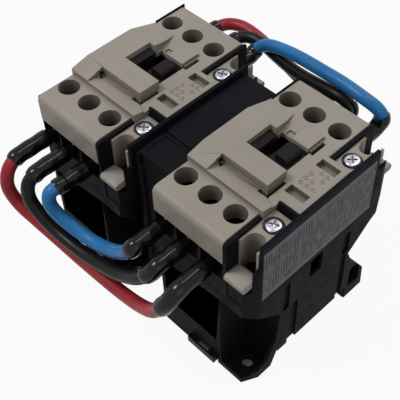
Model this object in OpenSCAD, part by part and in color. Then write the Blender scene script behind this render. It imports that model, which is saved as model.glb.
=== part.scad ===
// Reversing motor starter: two contactors on their backs, a mechanical interlock between them
// and six link wires. X runs across the contactors, -Y is the load side, +Z the operating side.

/* [Layout] */
// Centre distance of the two contactors
contactor_pitch = 62; // [58:1:70]

/* [Contactor] */
// Width of one contactor
body_w = 45; // [44:1:50]
// Length of one contactor along its terminals
body_l = 74; // [72:1:80]
// Height of the parting line between base and housing
base_h = 49; // [47:1:51]
// Height of the cover's face
cover_h = 78; // [77:0.5:80]
// Rise of the raised plate above the cover's face
plate_rise = 4; // [3:0.5:5]
// Wall of the black mouldings
wall = 1.5; // [1.2:0.1:2]
// Wall of the cover
cover_wall = 2; // [1.5:0.1:2.5]

/* [Poles] */
// Distance between neighbouring poles
pole_pitch = 11.5; // [11:0.5:12]
// Distance of the pole screws from the middle
pole_row = 25.7; // [25:0.1:27]
// Place of the auxiliary contact across the body
aux_x = 16.5; // [16:0.1:17]
// Distance of the auxiliary screws from the middle
aux_row = 19.5; // [19:0.5:20.5]
// Radius of the screw access holes
access_r = 4.1; // [3.8:0.1:4.1]
// Height of the wires at the terminals
wire_h = 60; // [59:0.5:61]

/* [Rail and feet] */
// Width of the mounting rail
rail_w = 35; // [35:0.5:36]
// Height of the rail seat above the mounting face
rail_seat_h = 6.5; // [6:0.5:8]
// Radius of the mounting screw holes
mount_hole_r = 2.3; // [2:0.1:2.6]
// Place of the mounting holes across the body
mount_x = 16; // [15:0.5:17]
// Distance of the mounting holes from the middle
mount_y = 30; // [29:0.5:31]

/* [Motion] */
// Travel of the contact carrier
carrier_travel = 5; // [4:0.5:5]
// Travel of the rail latch
latch_travel = 3; // [2:0.5:3]
// Tilt of the lockout rocker each way
rocker_tilt = 6; // [3:1:8]

/* [Link wires] */
// Radius over the insulation of a link wire
wire_r = 2.15; // [1.8:0.05:2.2]
// Outer radius of a shrink sleeve
sleeve_r = 3; // [2.7:0.1:3.1]
// Length of a shrink sleeve outside the body
sleeve_out = 10; // [8:0.5:10]

/* [Hidden] */
over = 1;
fit_gap = 0.3;
slide_gap = 0.25;
pin_gap = 0.03;
$fn = 48;
hull_fn = 32;
sides = [-1, 1];

half_w = body_w / 2;
half_l = body_l / 2;
plate_h = cover_h + plate_rise;
pole_count = 3;
pole_first_x = -17.4;
poles = [for (i = [0 : pole_count - 1]) pole_first_x + i * pole_pitch];

// Plan of the mouldings
corner_cut_x = 3;
corner_cut_y = 6;
corner_small = 1;
side_rib = 1.5;

// Base
coil_end_near = 20.5;
coil_end_far = 17;
flare_low_h = 31.7;
flare_mid_h = 40;
flare_mid_y = 30.3;
flare_edge_h = 45;
near_block_x = 9;
foot_in_y = 24;
channel_slope_y = 17.7;
channel_slope_h = 15.5;
foot_t = 3.2;
far_foot_y0 = 18.6;
far_foot_y1 = 29.5;
far_foot_mid_h = 11.5;
far_foot_top_h = 24;
far_foot_in_x = 6;
far_lug_y = 36;
rail_lip_t = 1.3;
rail_lip_d = 1.8;
cavity_floor_h = 9.5;
cavity_x = 21;
cavity_near = 15.5;
cavity_far = 15.5;
groove_d = 1;
window_x0 = -0.6;
window_x1 = 6.6;
window_h0 = 16;
window_h1 = 30;
window_d = 6;
drive_window_y0 = -5.6;
drive_window_y1 = 0.6;
drive_window_h = 39;

// Housing
housing_floor_t = 2;
left_wall = 1.2;
left_wall_top = 0.6;
left_wall_h = 77.4;
right_wall_h = 79.4;
right_wall_end_y = 31;
right_step_h = 69;
right_step_y = 36.6;
contact_bay_y = 12;
chamber_w = 10.3;
cover_ledge_h = 70;
aux_wall_x0 = 10.95;
aux_wall_x1 = 12.3;
carrier_slot_x = 20.6;
carrier_slot_y = 8.2;

// Cover
cover_x0 = -21.9;
cover_x1 = 10.75;
cover_skirt_h = 66.5;
cover_edge_r = 2.5;
cover_side_h = 72.2;
collar_wall = 1.1;
collar_h = 70.5;
plate_y0 = -20.2;
plate_y1 = 16.8;
strip_x1 = 12.3;
strip_y1 = -15.8;
brand_x1 = 7.1;
brand_y0 = -12.6;
brand_y1 = -3.3;
well_x0 = -11.3;
well_x1 = 4.9;
well_y1 = 8.6;
well_far_y = 11.4;
slot_x1 = 8.4;
slot_near_y0 = -14.2;
slot_near_y1 = -4.8;
slot_far_y0 = 10.5;
slot_far_y1 = 17.6;
channel_x0 = -13.4;
channel_deep = 3.2;
recess_x0 = -8.4;
marker_x0 = 8.6;
marker_x1 = 20.3;
marker_y0 = -11.5;
marker_y1 = 13.8;
marker_win_x0 = 9.9;
marker_win_x1 = 18;
marker_win_near = -5.7;
marker_win_far = 9.9;
marker_win_w = 3.8;
marker_win_d = 0.6;
hook_x = -12.6;

// Auxiliary shrouds
shroud_x0 = 12.3;
shroud_x1 = 21;
seat_h = 76;
seat_t = 3;
seat_in_y = 14.1;
seat_out_y = 26;
channel_r = 2.9;
channel_y = 30.5;
shroud_low_h = 60.5;
lip_y = 39.5;
lip_h = 66;
screw_well_r = 4.6;
screw_well_d = 1.4;

// Magnet
core_y = 7;
core_x = 17.5;
core_back_h0 = cavity_floor_h;
core_back_h1 = 16.5;
core_pole_h = 36;
leg_mid = 4.5;
leg_out = 4.5;
pole_gap = 0.25;
yoke_t = 6;
armature_gap = carrier_travel + pole_gap;
armature_h0 = core_pole_h + armature_gap;
armature_leg_h = 4;
armature_h1 = armature_h0 + armature_leg_h + yoke_t;
bobbin_wall = 1;
bobbin_h0 = core_back_h1;
bobbin_h1 = core_pole_h - fit_gap;
bobbin_out_x = core_x - leg_out - slide_gap;
bobbin_out_y = 14.5;
winding_gap = 0.2;

// Carrier
carrier_y = 4.2;
arm_y0 = -4.9;
arm_y1 = -0.1;
arm_x0 = 18.1;
arm_x1 = 20.4;
arm_h0 = 43.4;
drive_tab_h0 = 44.7;
drive_tab_t = 2.6;
beam_h0 = armature_h1;
beam_h1 = 71.6;
beam_x0 = -20.4;
beam_x1 = 20.2;
bridge_w = 5;
bridge_t = 1;
bridge_l = 17;
bridge_slot_h = 4.6;
post_x0 = -11;
post_x1 = 4.4;
step_low_h = 77;
step_high_h = 80;
step_x0 = -7.2;
step_y = 7.9;
step_far_y = 10.8;
step_mid_x = -4.4;
step_mid_h = 74;

// Terminals
plate_w = 7.6;
plate_t = 1.3;
plate_in_y = 5;
plate_out_y = 33;
ferrule_r = 0.95;
plate_top_h = wire_h - ferrule_r;
tip_r = 2;
tip_t = 1;
tip_y = 6.6;
contact_gap = carrier_travel + 0.15;
bridge_h0 = plate_top_h + 2 * tip_t + contact_gap;
contact_spring_r = 1.7;
contact_spring_wire = 0.3;
contact_spring_turns = 3;
washer_l = 7;
washer_t = 1.2;
ferrule_x = -2.75;
wire_x = -1.6;
ferrule_in = 22.5;
washer_h0 = plate_top_h + 2 * ferrule_r;
chamber_floor_h = plate_top_h - plate_t;
screw_r = 1.75;
head_r = 3.4;
head_t = 2.2;
screw_end_h = 52.5;
recess_arm = 4.4;
recess_w = 0.9;
recess_d = 1.1;
aux_head_h = 76.4;
aux_head_r = 3.7;
aux_plate_h = 68;

// Coil terminals
coil_term_x = 10;
coil_term_w = 6;
coil_term_h = 41;
coil_term_y0 = 17;
coil_term_y1 = 29;
coil_term_screw_y = 24;

// Rail latch
latch_x = 7;
latch_h0 = 1.4;
latch_h1 = 5;
latch_out_y = 39;
latch_in_y = 15.8;
latch_win_x = 3;
latch_win_near = 33.8;
latch_win_far = 22;
latch_peg_t = 2;
latch_pull_x = 3;
latch_pull_t = 1.2;
latch_spring_r = 1.3;
latch_spring_wire = 0.25;
latch_spring_turns = 7;

// Springs of the magnet
return_spring_x = 8.75;
return_spring_r = 3.2;
return_spring_wire = 0.4;
return_spring_turns = 4;

// Rating plate
rating_t = 0.3;
rating_y0 = -30.4;
rating_y1 = 25.8;
rating_h0 = 51;
rating_h1 = 76;

// Interlock
lock_w = contactor_pitch - body_w - 2 * slide_gap;
lock_near = 28;
lock_far = 25.5;
lock_h0 = 7;
lock_h1 = 76.5;
lock_step_y = -15;
lock_step_h = 70.5;
lock_wall = 2;
lock_lid_t = 1.8;
lock_rib_r = 1.5;
slide_t = 5;
slide_mid_gap = 0.8;
slide_h0 = 32;
slide_h1 = 58;
slide_y = 8;
slide_foot = 4.5;
slide_cut_h = 40;
tab_y0 = -4.5;
tab_y1 = -0.5;
tab_reach = 4.7;
rocker_h = 21;
rocker_t = 4;
rocker_l = 14;
rocker_w = 9;
rocker_hub_r = 3.4;
lock_pin_r = 1.5;
lock_screw_r = 1.4;
lock_screw_head_r = 2.5;
lock_screw_y = 20;
lock_screw_h = [16, 64];

// Routes of the link wires, near side first
near_routes = [
    [[-50, -48, 60], [-50, -53, 59.5], [-49.7, -58, 56], [-49.3, -60, 49], [-46, -58.6, 41.5],
     [-39, -56.6, 36.5], [-28.5, -55.4, 33.6], [-14.5, -55, 33], [-1.5, -55, 34], [9.5, -55, 35.4],
     [19.5, -55.6, 39.5], [28, -56.2, 46], [33.5, -54.8, 54.5], [34.9, -51.2, 59], [35, -48, 60]],
    [[-38.5, -48, 60], [-38.5, -52.4, 59.6], [-38.8, -56.2, 56.4], [-37.9, -57.4, 50], [-33, -56.8, 43.8],
     [-23.5, -56, 40.4], [-11.5, -55.2, 40], [-1.5, -54.6, 41.8], [8.5, -54, 45.6], [17, -53.2, 51],
     [22.1, -51.4, 57], [23.4, -49.8, 59.6], [23.5, -48, 60]],
    [[-27, -48, 60], [-27, -51.6, 60.6], [-27.4, -54.6, 59.4], [-26.9, -55.6, 55], [-23.9, -54.6, 50],
     [-17.5, -52.8, 46], [-9.1, -51.2, 44.6], [-0.5, -50.6, 47.6], [5.9, -50.4, 52.2], [10.3, -50.2, 57],
     [11.9, -49.4, 59.6], [12, -48, 60]]
];
far_routes = [
    [[-50, 48, 60], [-49.8, 52.4, 60], [-47.7, 56.6, 60.2], [-42.5, 59.2, 60.4], [-35.5, 60, 59.8],
     [-27.5, 59.8, 58.4], [-17.5, 58.2, 57], [-7.5, 56.2, 56], [0.5, 54.4, 56.2], [7.1, 52.4, 57.6],
     [10.9, 50.4, 59.4], [11.9, 49.2, 60], [12, 48, 60]],
    [[-38.5, 48, 60], [-38.1, 51, 60.6], [-36.3, 53.8, 61.5], [-32.5, 55.6, 62], [-26.5, 55.8, 61.8],
     [-18.5, 54.6, 61.4], [-9.5, 53, 62], [-0.5, 51.8, 63.4], [8.5, 50.8, 65.2], [16.1, 50.4, 66.2],
     [21.1, 50.8, 65], [23.2, 50.2, 62], [23.5, 48, 60]],
    [[-27, 48, 60], [-26.7, 50.4, 62], [-25.1, 52.2, 65], [-21.1, 53.2, 67.4], [-14.5, 53.4, 69.4],
     [-5.5, 52.6, 71.4], [6.5, 51.6, 73], [17.5, 51, 73.4], [27.5, 51, 72.8], [33.5, 52.2, 70.2],
     [35.9, 52.8, 66], [35.5, 51, 62], [35, 48, 60]]
];
wire_sides = 10;
wire_steps = 2;

// Helpers

module span(x0, x1, y0, y1, z0, z1) {
    translate([x0, y0, z0]) cube([x1 - x0, y1 - y0, z1 - z0]);
}

// A profile drawn in the Y-Z plane, run from x0 to x1
module across(x0, x1) {
    translate([x0, 0, 0]) rotate([90, 0, 90]) linear_extrude(x1 - x0) children();
}

// Two mirrored copies, one at the load end and one at the line end
module both_ends() {
    children();
    mirror([0, 1, 0]) children();
}

module on_contactor(side) {
    translate([side * contactor_pitch / 2, 0, 0]) children();
}

module round_rod(p, r, axis_turn, l) {
    translate(p) rotate(axis_turn) cylinder(r = r, h = l);
}

// Points on a smooth curve through the route
function curve_point(p, i, t) =
    let (a = p[max(i - 1, 0)], b = p[i], c = p[i + 1], d = p[min(i + 2, len(p) - 1)])
    0.5 * (2 * b + (c - a) * t + (2 * a - 5 * b + 4 * c - d) * t * t
        + (3 * b - a - 3 * c + d) * t * t * t);
function smooth_route(p, steps) = concat(
    [for (i = [0 : len(p) - 2]) for (k = [0 : steps - 1]) curve_point(p, i, k / steps)],
    [p[len(p) - 1]]);
function unit(v) = v / norm(v);
function heading(p, i) = unit(p[min(i + 1, len(p) - 1)] - p[max(i - 1, 0)]);
wire_reference = [1, -1, 1];

// A tube swept along points, its rings square to the path
module swept_rod(p, r, n) {
    rings = [for (i = [0 : len(p) - 1])
        let (t = heading(p, i), u = unit(cross(t, wire_reference)), v = cross(t, u))
        [for (k = [0 : n - 1]) p[i] + r * (cos(k * 360 / n) * u + sin(k * 360 / n) * v)]];
    points = [for (ring = rings) for (q = ring) q];
    last = len(p) - 1;
    walls = [for (i = [0 : last - 1]) for (k = [0 : n - 1]) for (h = [0, 1])
        let (a = i * n + k, b = i * n + (k + 1) % n)
        h == 0 ? [a, b, b + n] : [a, b + n, a + n]];
    ends = concat([[for (k = [0 : n - 1]) n - 1 - k]], [[for (k = [0 : n - 1]) last * n + k]]);
    polyhedron(points, concat(walls, ends));
}

// Helical wire along Z from z = 0 to height h
module coil_spring(r, wire, turns, h, n) {
    steps = turns * 8;
    rise = h - 2 * wire;
    path = [for (i = [0 : steps])
        [r * cos(i * 45), r * sin(i * 45), wire + rise * i / steps]];
    swept_helix(path, wire, n);
}

module swept_helix(p, r, n) {
    rings = [for (i = [0 : len(p) - 1])
        let (t = heading(p, i), u = unit([p[i][0], p[i][1], 0]), v = cross(t, u))
        [for (k = [0 : n - 1]) p[i] + r * (cos(k * 360 / n) * u + sin(k * 360 / n) * v)]];
    points = [for (ring = rings) for (q = ring) q];
    last = len(p) - 1;
    walls = [for (i = [0 : last - 1]) for (k = [0 : n - 1]) for (h = [0, 1])
        let (a = i * n + k, b = i * n + (k + 1) % n)
        h == 0 ? [a, b, b + n] : [a, b + n, a + n]];
    ends = concat([[for (k = [0 : n - 1]) n - 1 - k]], [[for (k = [0 : n - 1]) last * n + k]]);
    polyhedron(points, concat(walls, ends));
}

// Plan outline of a contactor with its two cut corners at the auxiliary side
module body_plan() {
    polygon([
        [-half_w + corner_small, -half_l], [half_w - corner_cut_x, -half_l],
        [half_w, -half_l + corner_cut_y], [half_w, half_l - corner_cut_y],
        [half_w - corner_cut_x, half_l], [-half_w + corner_small, half_l],
        [-half_w, half_l - corner_small], [-half_w, -half_l + corner_small]]);
}

// Base

module near_end_profile() {
    polygon([
        [-half_l - over, 0], [-foot_in_y, 0], [-channel_slope_y, channel_slope_h],
        [-channel_slope_y, base_h], [-half_l - over, base_h]]);
}

module near_flare_profile() {
    polygon([
        [-coil_end_near + over, flare_low_h], [-coil_end_near, flare_low_h],
        [-flare_mid_y, flare_mid_h], [-half_l - over, flare_edge_h],
        [-half_l - over, base_h], [-coil_end_near + over, base_h]]);
}

module near_gusset_profile() {
    polygon([
        [-half_l - over, 0], [-foot_in_y, 0], [-channel_slope_y, channel_slope_h],
        [-channel_slope_y, flare_low_h], [-coil_end_near, flare_low_h],
        [-coil_end_near - wall, channel_slope_h], [-foot_in_y - 2 * wall, 2 * foot_t],
        [-half_l - over, foot_t]]);
}

module near_foot_profile() {
    polygon([
        [-half_l - over, 0], [-foot_in_y, 0], [-channel_slope_y, channel_slope_h],
        [-coil_end_near, channel_slope_h], [-foot_in_y, foot_t], [-half_l - over, foot_t]]);
}

module far_flare_profile() {
    polygon([
        [coil_end_far - over, flare_low_h], [coil_end_far, flare_low_h],
        [half_l - corner_cut_y - 2 * wall, flare_mid_h + wall], [half_l + over, base_h - wall],
        [half_l + over, base_h], [coil_end_far - over, base_h]]);
}

module far_foot_profile() {
    polygon([
        [far_foot_y0, 0], [far_foot_y1, 0], [far_foot_y1 - wall / 2, far_foot_mid_h],
        [coil_end_far + 2 * wall, far_foot_top_h], [coil_end_far, flare_low_h],
        [coil_end_far - over, flare_low_h], [coil_end_far - over, channel_slope_h / 2],
        [far_foot_y0, channel_slope_h / 2]]);
}

module far_lug_profile() {
    polygon([
        [far_foot_y0, 0], [far_lug_y, 0], [far_lug_y, foot_t], [far_foot_y1 - 2 * wall, foot_t],
        [coil_end_far, flare_low_h], [coil_end_far - over, flare_low_h],
        [coil_end_far - over, channel_slope_h / 2], [far_foot_y0, channel_slope_h / 2]]);
}

module base_side_notches() {
    near_notch = [[-channel_slope_y, channel_slope_h], [-coil_end_far + wall / 2, channel_slope_h],
        [-contact_bay_y, rail_seat_h], [-contact_bay_y, 0], [-foot_in_y, 0]];
    polygon(near_notch);
}

module rail_channel() {
    half_rail = rail_w / 2 + fit_gap;
    across(-half_w - over, half_w + over) polygon([
        [-half_rail - wall, -over], [half_rail - rail_lip_d, -over],
        [half_rail - rail_lip_d, rail_seat_h - rail_lip_t - fit_gap],
        [half_rail, rail_seat_h - rail_lip_t - fit_gap], [half_rail, rail_seat_h],
        [-half_rail, rail_seat_h], [-half_rail, rail_seat_h - rail_lip_t - fit_gap]]);
}

module side_grooves() {
    for (s = sides) {
        x0 = s > 0 ? half_w - groove_d : -half_w - over;
        x1 = s > 0 ? half_w + over : -half_w + groove_d;
        span(x0, x1, -coil_end_near + wall, -coil_end_near + 3 * wall, flare_low_h, base_h - wall);
        span(x0, x1, -coil_end_far + wall, -coil_end_far + 4 * wall, rail_seat_h - over, flare_low_h);
        span(x0, x1, coil_end_far - 3 * wall, coil_end_far - wall, -over, flare_low_h + wall);
        span(x0, x1, coil_end_far - 3 * wall, coil_end_far - wall / 2, flare_low_h + 2 * wall,
            base_h - 2 * wall);
    }
}

module drive_windows() {
    span(-half_w - over, half_w + over, drive_window_y0, drive_window_y1, drive_window_h, base_h + over);
}

module base_body() {
    intersection() {
        union() {
            span(-half_w, half_w, -coil_end_near, coil_end_far, rail_seat_h, base_h);
            across(-half_w, near_block_x) near_end_profile();
            across(near_block_x - over, half_w) near_flare_profile();
            across(near_block_x - over, half_w) near_foot_profile();
            across(half_w - side_rib, half_w) near_gusset_profile();
            across(-half_w, half_w) far_flare_profile();
            across(far_foot_in_x, half_w) far_foot_profile();
            across(-half_w, -far_foot_in_x) far_lug_profile();
        }
        translate([0, 0, -over]) linear_extrude(base_h + over) body_plan();
    }
}

module latch_bay() {
    span(-latch_x - slide_gap, latch_x + slide_gap, -half_l - over, -channel_slope_y + 2 * wall,
        -over, latch_h1 + slide_gap);
}

module latch_peg() {
    span(-latch_win_x + fit_gap, latch_win_x - fit_gap, -latch_win_near + fit_gap,
        -latch_win_near + fit_gap + latch_peg_t, latch_h0, latch_h1 + 2 * slide_gap);
}

module base() {
    color("#26262a") difference() {
        union() {
            difference() {
                base_body();
                rail_channel();
                latch_bay();
            }
            latch_peg();
        }
        span(-cavity_x, cavity_x, -cavity_near, cavity_far, cavity_floor_h, base_h + over);
        side_grooves();
        drive_windows();
        // window in the near block and the hollows of the near block and the far foot
        span(window_x0, window_x1, -half_l - over, -half_l + window_d, window_h0, window_h1);
        span(-half_w + 2 * wall, window_x0 - 2 * wall, -half_l - over, -half_l + wall, window_h0, flare_mid_h);
        span(half_w - window_d, half_w + over, far_foot_y0 + wall, far_foot_y1 - 2 * wall,
            2 * foot_t, far_foot_mid_h + 2 * foot_t);
        for (s = sides) {
            translate([s * mount_x, -s * mount_y, -over]) cylinder(r = mount_hole_r, h = foot_t + 2 * over);
        }
        // recesses of the two coil terminals at the line end
        for (s = sides) {
            span(s * coil_term_x - coil_term_w / 2 - fit_gap, s * coil_term_x + coil_term_w / 2 + fit_gap,
                cavity_far - over, half_l + over, coil_term_h, base_h + over);
        }
    }
}

// Housing

module chamber(x, w, floor_h) {
    span(max(x - w / 2, -half_w + left_wall), x + w / 2, -half_l - over, -contact_bay_y - wall,
        floor_h, plate_h);
}

module housing_walls() {
    difference() {
        translate([0, 0, base_h]) linear_extrude(right_wall_h - base_h) body_plan();
        // the left wall and the partition stay lower than the right wall
        span(-half_w - over, aux_wall_x1, -half_l - over, half_l + over, left_wall_h, plate_h);
        // stepped ends of the right wall
        both_ends() {
            span(aux_wall_x1, half_w + over, -half_l - over, -right_wall_end_y, right_step_h, plate_h);
            span(aux_wall_x1, half_w + over, -half_l - over, -right_step_y, base_h + wall, plate_h);
        }
    }
}

// Shallow seat of the rating plate in the outer side
module rating_seat() {
    span(half_w - rating_t, half_w + over, rating_y0, rating_y1, rating_h0, rating_h1);
}

module housing() {
    color("#232326") difference() {
        housing_walls();
        // contact bay in the middle
        span(-half_w + left_wall, half_w - wall, -contact_bay_y, contact_bay_y,
            base_h + housing_floor_t, plate_h);
        // way through the floor for armature and carrier
        span(-carrier_slot_x, carrier_slot_x, -carrier_slot_y, carrier_slot_y, base_h - over, plate_h);
        both_ends() {
            for (x = poles) chamber(x, chamber_w, chamber_floor_h);
            chamber((aux_wall_x1 + half_w - wall) / 2, half_w - wall - aux_wall_x1, chamber_floor_h);
            // notch for the end skirt of the cover
            span(-half_w + left_wall_top, aux_wall_x0, -half_l - over, -half_l + cover_wall + fit_gap,
                cover_skirt_h, plate_h);
        }
        // seat of the cover above the pole partitions, and its way to the marker field
        span(-half_w + left_wall_top, aux_wall_x0, -half_l - over, half_l + over, cover_ledge_h, plate_h);
        span(-half_w - over, aux_wall_x0, plate_y0 - fit_gap, plate_y1 + fit_gap,
            cover_h - cover_wall - fit_gap, plate_h);
        span(aux_wall_x0 - over, half_w - wall, -seat_in_y + wall, seat_in_y - fit_gap,
            cover_ledge_h, plate_h);
        span(aux_wall_x0 - over, aux_wall_x1 + fit_gap, plate_y0 - fit_gap, -seat_in_y + 2 * wall,
            cover_h - cover_wall - fit_gap, plate_h);
        // fixed contacts pass from the chambers into the contact bay
        both_ends() {
            for (x = poles) {
                span(x - plate_w / 2 - fit_gap, x + plate_w / 2 + fit_gap, -contact_bay_y - 2 * wall,
                    -contact_bay_y + over, plate_top_h - plate_t - fit_gap, plate_top_h + wall);
            }
            span(aux_x - plate_w / 2 - fit_gap, aux_x + plate_w / 2 + fit_gap, -contact_bay_y - 3 * wall,
                -contact_bay_y + over, plate_top_h - plate_t - fit_gap, plate_top_h + wall);
        }
        rating_seat();
        // shanks of the pole screws run into their threads
        both_ends() {
            for (x = poles) {
                translate([x, -pole_row, screw_end_h - fit_gap])
                    cylinder(r = screw_r + fit_gap, h = over + chamber_floor_h - screw_end_h);
            }
            translate([aux_x, -aux_row, screw_end_h])
                cylinder(r = screw_r + fit_gap, h = over + chamber_floor_h - screw_end_h);
        }
    }
}

// Cover

module cover_shell() {
    difference() {
        union() {
            span(cover_x0, cover_x1, -half_l + cover_edge_r, half_l - cover_edge_r, cover_ledge_h, cover_h);
            both_ends() {
                span(cover_x0, cover_x1, -half_l, -half_l + cover_wall, cover_skirt_h, cover_h - cover_edge_r);
                round_rod([cover_x0, -half_l + cover_edge_r, cover_h - cover_edge_r], cover_edge_r,
                    [0, 90, 0], cover_x1 - cover_x0);
            }
        }
        span(cover_x0 + cover_wall, cover_x1 - cover_wall, -half_l + cover_wall, half_l - cover_wall,
            cover_skirt_h - over, cover_h - cover_wall);
        span(cover_x0 - over, cover_x1 + over, -contact_bay_y, contact_bay_y, cover_ledge_h - over,
            cover_side_h);
    }
}

module raised_plate_outline() {
    polygon([
        [-half_w, plate_y0], [strip_x1, plate_y0], [strip_x1, strip_y1], [slot_x1, slot_near_y0],
        [brand_x1, brand_y0], [brand_x1, brand_y1], [well_x0, brand_y1], [well_x0, well_y1],
        [recess_x0, well_y1], [recess_x0 - wall, plate_y1], [-half_w, plate_y1]]);
}

module marker_field() {
    span(cover_x1 - over, marker_x1, marker_y0, marker_y1, cover_h - 2 * cover_wall, cover_h);
}

module cover() {
    color("#c8c2ae") difference() {
        union() {
            cover_shell();
            intersection() {
                both_ends() {
                    for (x = poles) {
                        translate([x, -pole_row, collar_h])
                            cylinder(r = access_r + collar_wall, h = cover_h - cover_wall / 2 - collar_h);
                    }
                }
                span(cover_x0, cover_x1, -half_l, half_l, collar_h, cover_h);
            }
            translate([0, 0, cover_h - cover_wall])
                linear_extrude(plate_rise + cover_wall) raised_plate_outline();
            marker_field();
            span(cover_x1 - over, strip_x1, plate_y0, marker_y0 + over, cover_h - cover_wall, cover_h);
        }
        both_ends() {
            for (x = poles) {
                translate([x, -pole_row, collar_h - over]) cylinder(r = access_r, h = plate_h);
            }
        }
        // hollow under the raised plate
        span(-half_w + cover_wall, well_x0 - cover_wall, plate_y0 + cover_wall, plate_y1 - cover_wall,
            cover_h - cover_wall - over, plate_h - cover_wall);
        // well of the indicator
        span(well_x0, well_x1, brand_y1, well_y1, cover_side_h - over, plate_h + over);
        span(recess_x0, well_x1, well_y1 - over, well_far_y, cover_side_h - over, plate_h + over);
        // slots at the auxiliary side of the raised plate
        span(brand_x1, slot_x1, slot_near_y0, slot_near_y1, cover_side_h - over, plate_h + over);
        span(brand_x1 - 2 * wall, slot_x1, slot_near_y0, slot_near_y0 + wall,
            cover_side_h - over, plate_h + over);
        span(well_x1, well_x1 + wall, slot_far_y0, slot_far_y1, cover_side_h - over, plate_h + over);
        // sloping channel between the strip and the plate
        across(channel_x0, brand_x1 + over) polygon([
            [strip_y1, plate_h + over], [strip_y1, plate_h - wall / 2],
            [brand_y0 - wall / 2, plate_h - channel_deep], [brand_y0, plate_h - channel_deep],
            [brand_y0, plate_h + over]]);
        // hook slot
        translate([0, 0, cover_side_h - over]) linear_extrude(plate_h) polygon([
            [hook_x - wall / 2, brand_y0 - wall], [hook_x + wall / 2, brand_y0 - 2 * wall],
            [hook_x + wall / 2, brand_y0]]);
        // marker windows
        for (y = [marker_win_near, marker_win_far]) {
            span(marker_win_x0, marker_win_x1, y - marker_win_w / 2, y + marker_win_w / 2,
                cover_h - marker_win_d, cover_h + over);
        }
    }
}

// Auxiliary shrouds

module shroud_profile() {
    polygon([
        [-seat_in_y, seat_h - seat_t], [-seat_in_y, seat_h], [-seat_out_y, seat_h],
        [-channel_y, seat_h - wall], [-right_wall_end_y - 2 * wall, seat_h - 2 * seat_t],
        [-right_wall_end_y - 3 * wall, lip_h], [-lip_y, lip_h - wall], [-lip_y, shroud_low_h + wall],
        [-lip_y + 2 * wall, shroud_low_h], [-channel_y + wall, shroud_low_h],
        [-seat_out_y, seat_h - 2 * seat_t], [-seat_out_y + wall, seat_h - seat_t]]);
}

module aux_shrouds() {
    color("#cdc8b6") both_ends() difference() {
        across(shroud_x0, shroud_x1) shroud_profile();
        translate([aux_x, -aux_row, seat_h - screw_well_d]) cylinder(r = screw_well_r, h = over + screw_well_d);
        translate([aux_x, -aux_row, seat_h - 2 * seat_t]) cylinder(r = screw_r + fit_gap, h = 3 * seat_t);
        // upright wire channel, open towards the end
        translate([aux_x, -channel_y, lip_h - wall]) cylinder(r = channel_r, h = plate_h - lip_h);
        span(aux_x - channel_r, aux_x + channel_r, -lip_y - over, -channel_y, lip_h, plate_h);
    }
}

// Magnet

module e_shape(back0, back1, tip) {
    up = tip > back0;
    low = up ? back0 : tip;
    high = up ? tip : back1;
    difference() {
        span(-core_x, core_x, -core_y, core_y, min(low, back0), max(high, back1));
        for (s = sides) {
            x0 = s > 0 ? leg_mid : -core_x + leg_out;
            x1 = s > 0 ? core_x - leg_out : -leg_mid;
            if (up) span(x0, x1, -core_y - over, core_y + over, back1, tip + over);
            else span(x0, x1, -core_y - over, core_y + over, tip - over, back0);
        }
    }
}

module core() {
    color("#8a8d90") union() {
        e_shape(core_back_h0, core_back_h1, core_pole_h);
    }
}

module armature() {
    color("#8a8d90") e_shape(armature_h0 + armature_leg_h, armature_h1, armature_h0);
}

module coil_bobbin() {
    color("#3a3a3e") difference() {
        union() {
            span(-leg_mid - slide_gap - bobbin_wall, leg_mid + slide_gap + bobbin_wall,
                -core_y - slide_gap - bobbin_wall, core_y + slide_gap + bobbin_wall, bobbin_h0, bobbin_h1);
            for (h = [bobbin_h0, bobbin_h1 - bobbin_wall]) {
                span(-bobbin_out_x, bobbin_out_x, -bobbin_out_y, bobbin_out_y, h, h + bobbin_wall);
            }
        }
        span(-leg_mid - slide_gap, leg_mid + slide_gap, -core_y - slide_gap, core_y + slide_gap,
            bobbin_h0 - over, bobbin_h1 + over);
    }
}

module coil_winding() {
    in_x = leg_mid + slide_gap + bobbin_wall + winding_gap;
    in_y = core_y + slide_gap + bobbin_wall + winding_gap;
    color("#a5552a") difference() {
        span(-bobbin_out_x + bobbin_wall, bobbin_out_x - bobbin_wall, -bobbin_out_y + bobbin_wall,
            bobbin_out_y - bobbin_wall, bobbin_h0 + bobbin_wall, bobbin_h1 - bobbin_wall);
        span(-in_x, in_x, -in_y, in_y, bobbin_h0, bobbin_h1);
    }
}

module return_springs() {
    h = armature_h0 + armature_leg_h - bobbin_h1 - 2 * winding_gap;
    color("#b9bcc0") for (s = sides) {
        translate([s * return_spring_x, 0, bobbin_h1 + winding_gap])
            coil_spring(return_spring_r, return_spring_wire, return_spring_turns, h, 6);
    }
}

// Carrier

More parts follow.
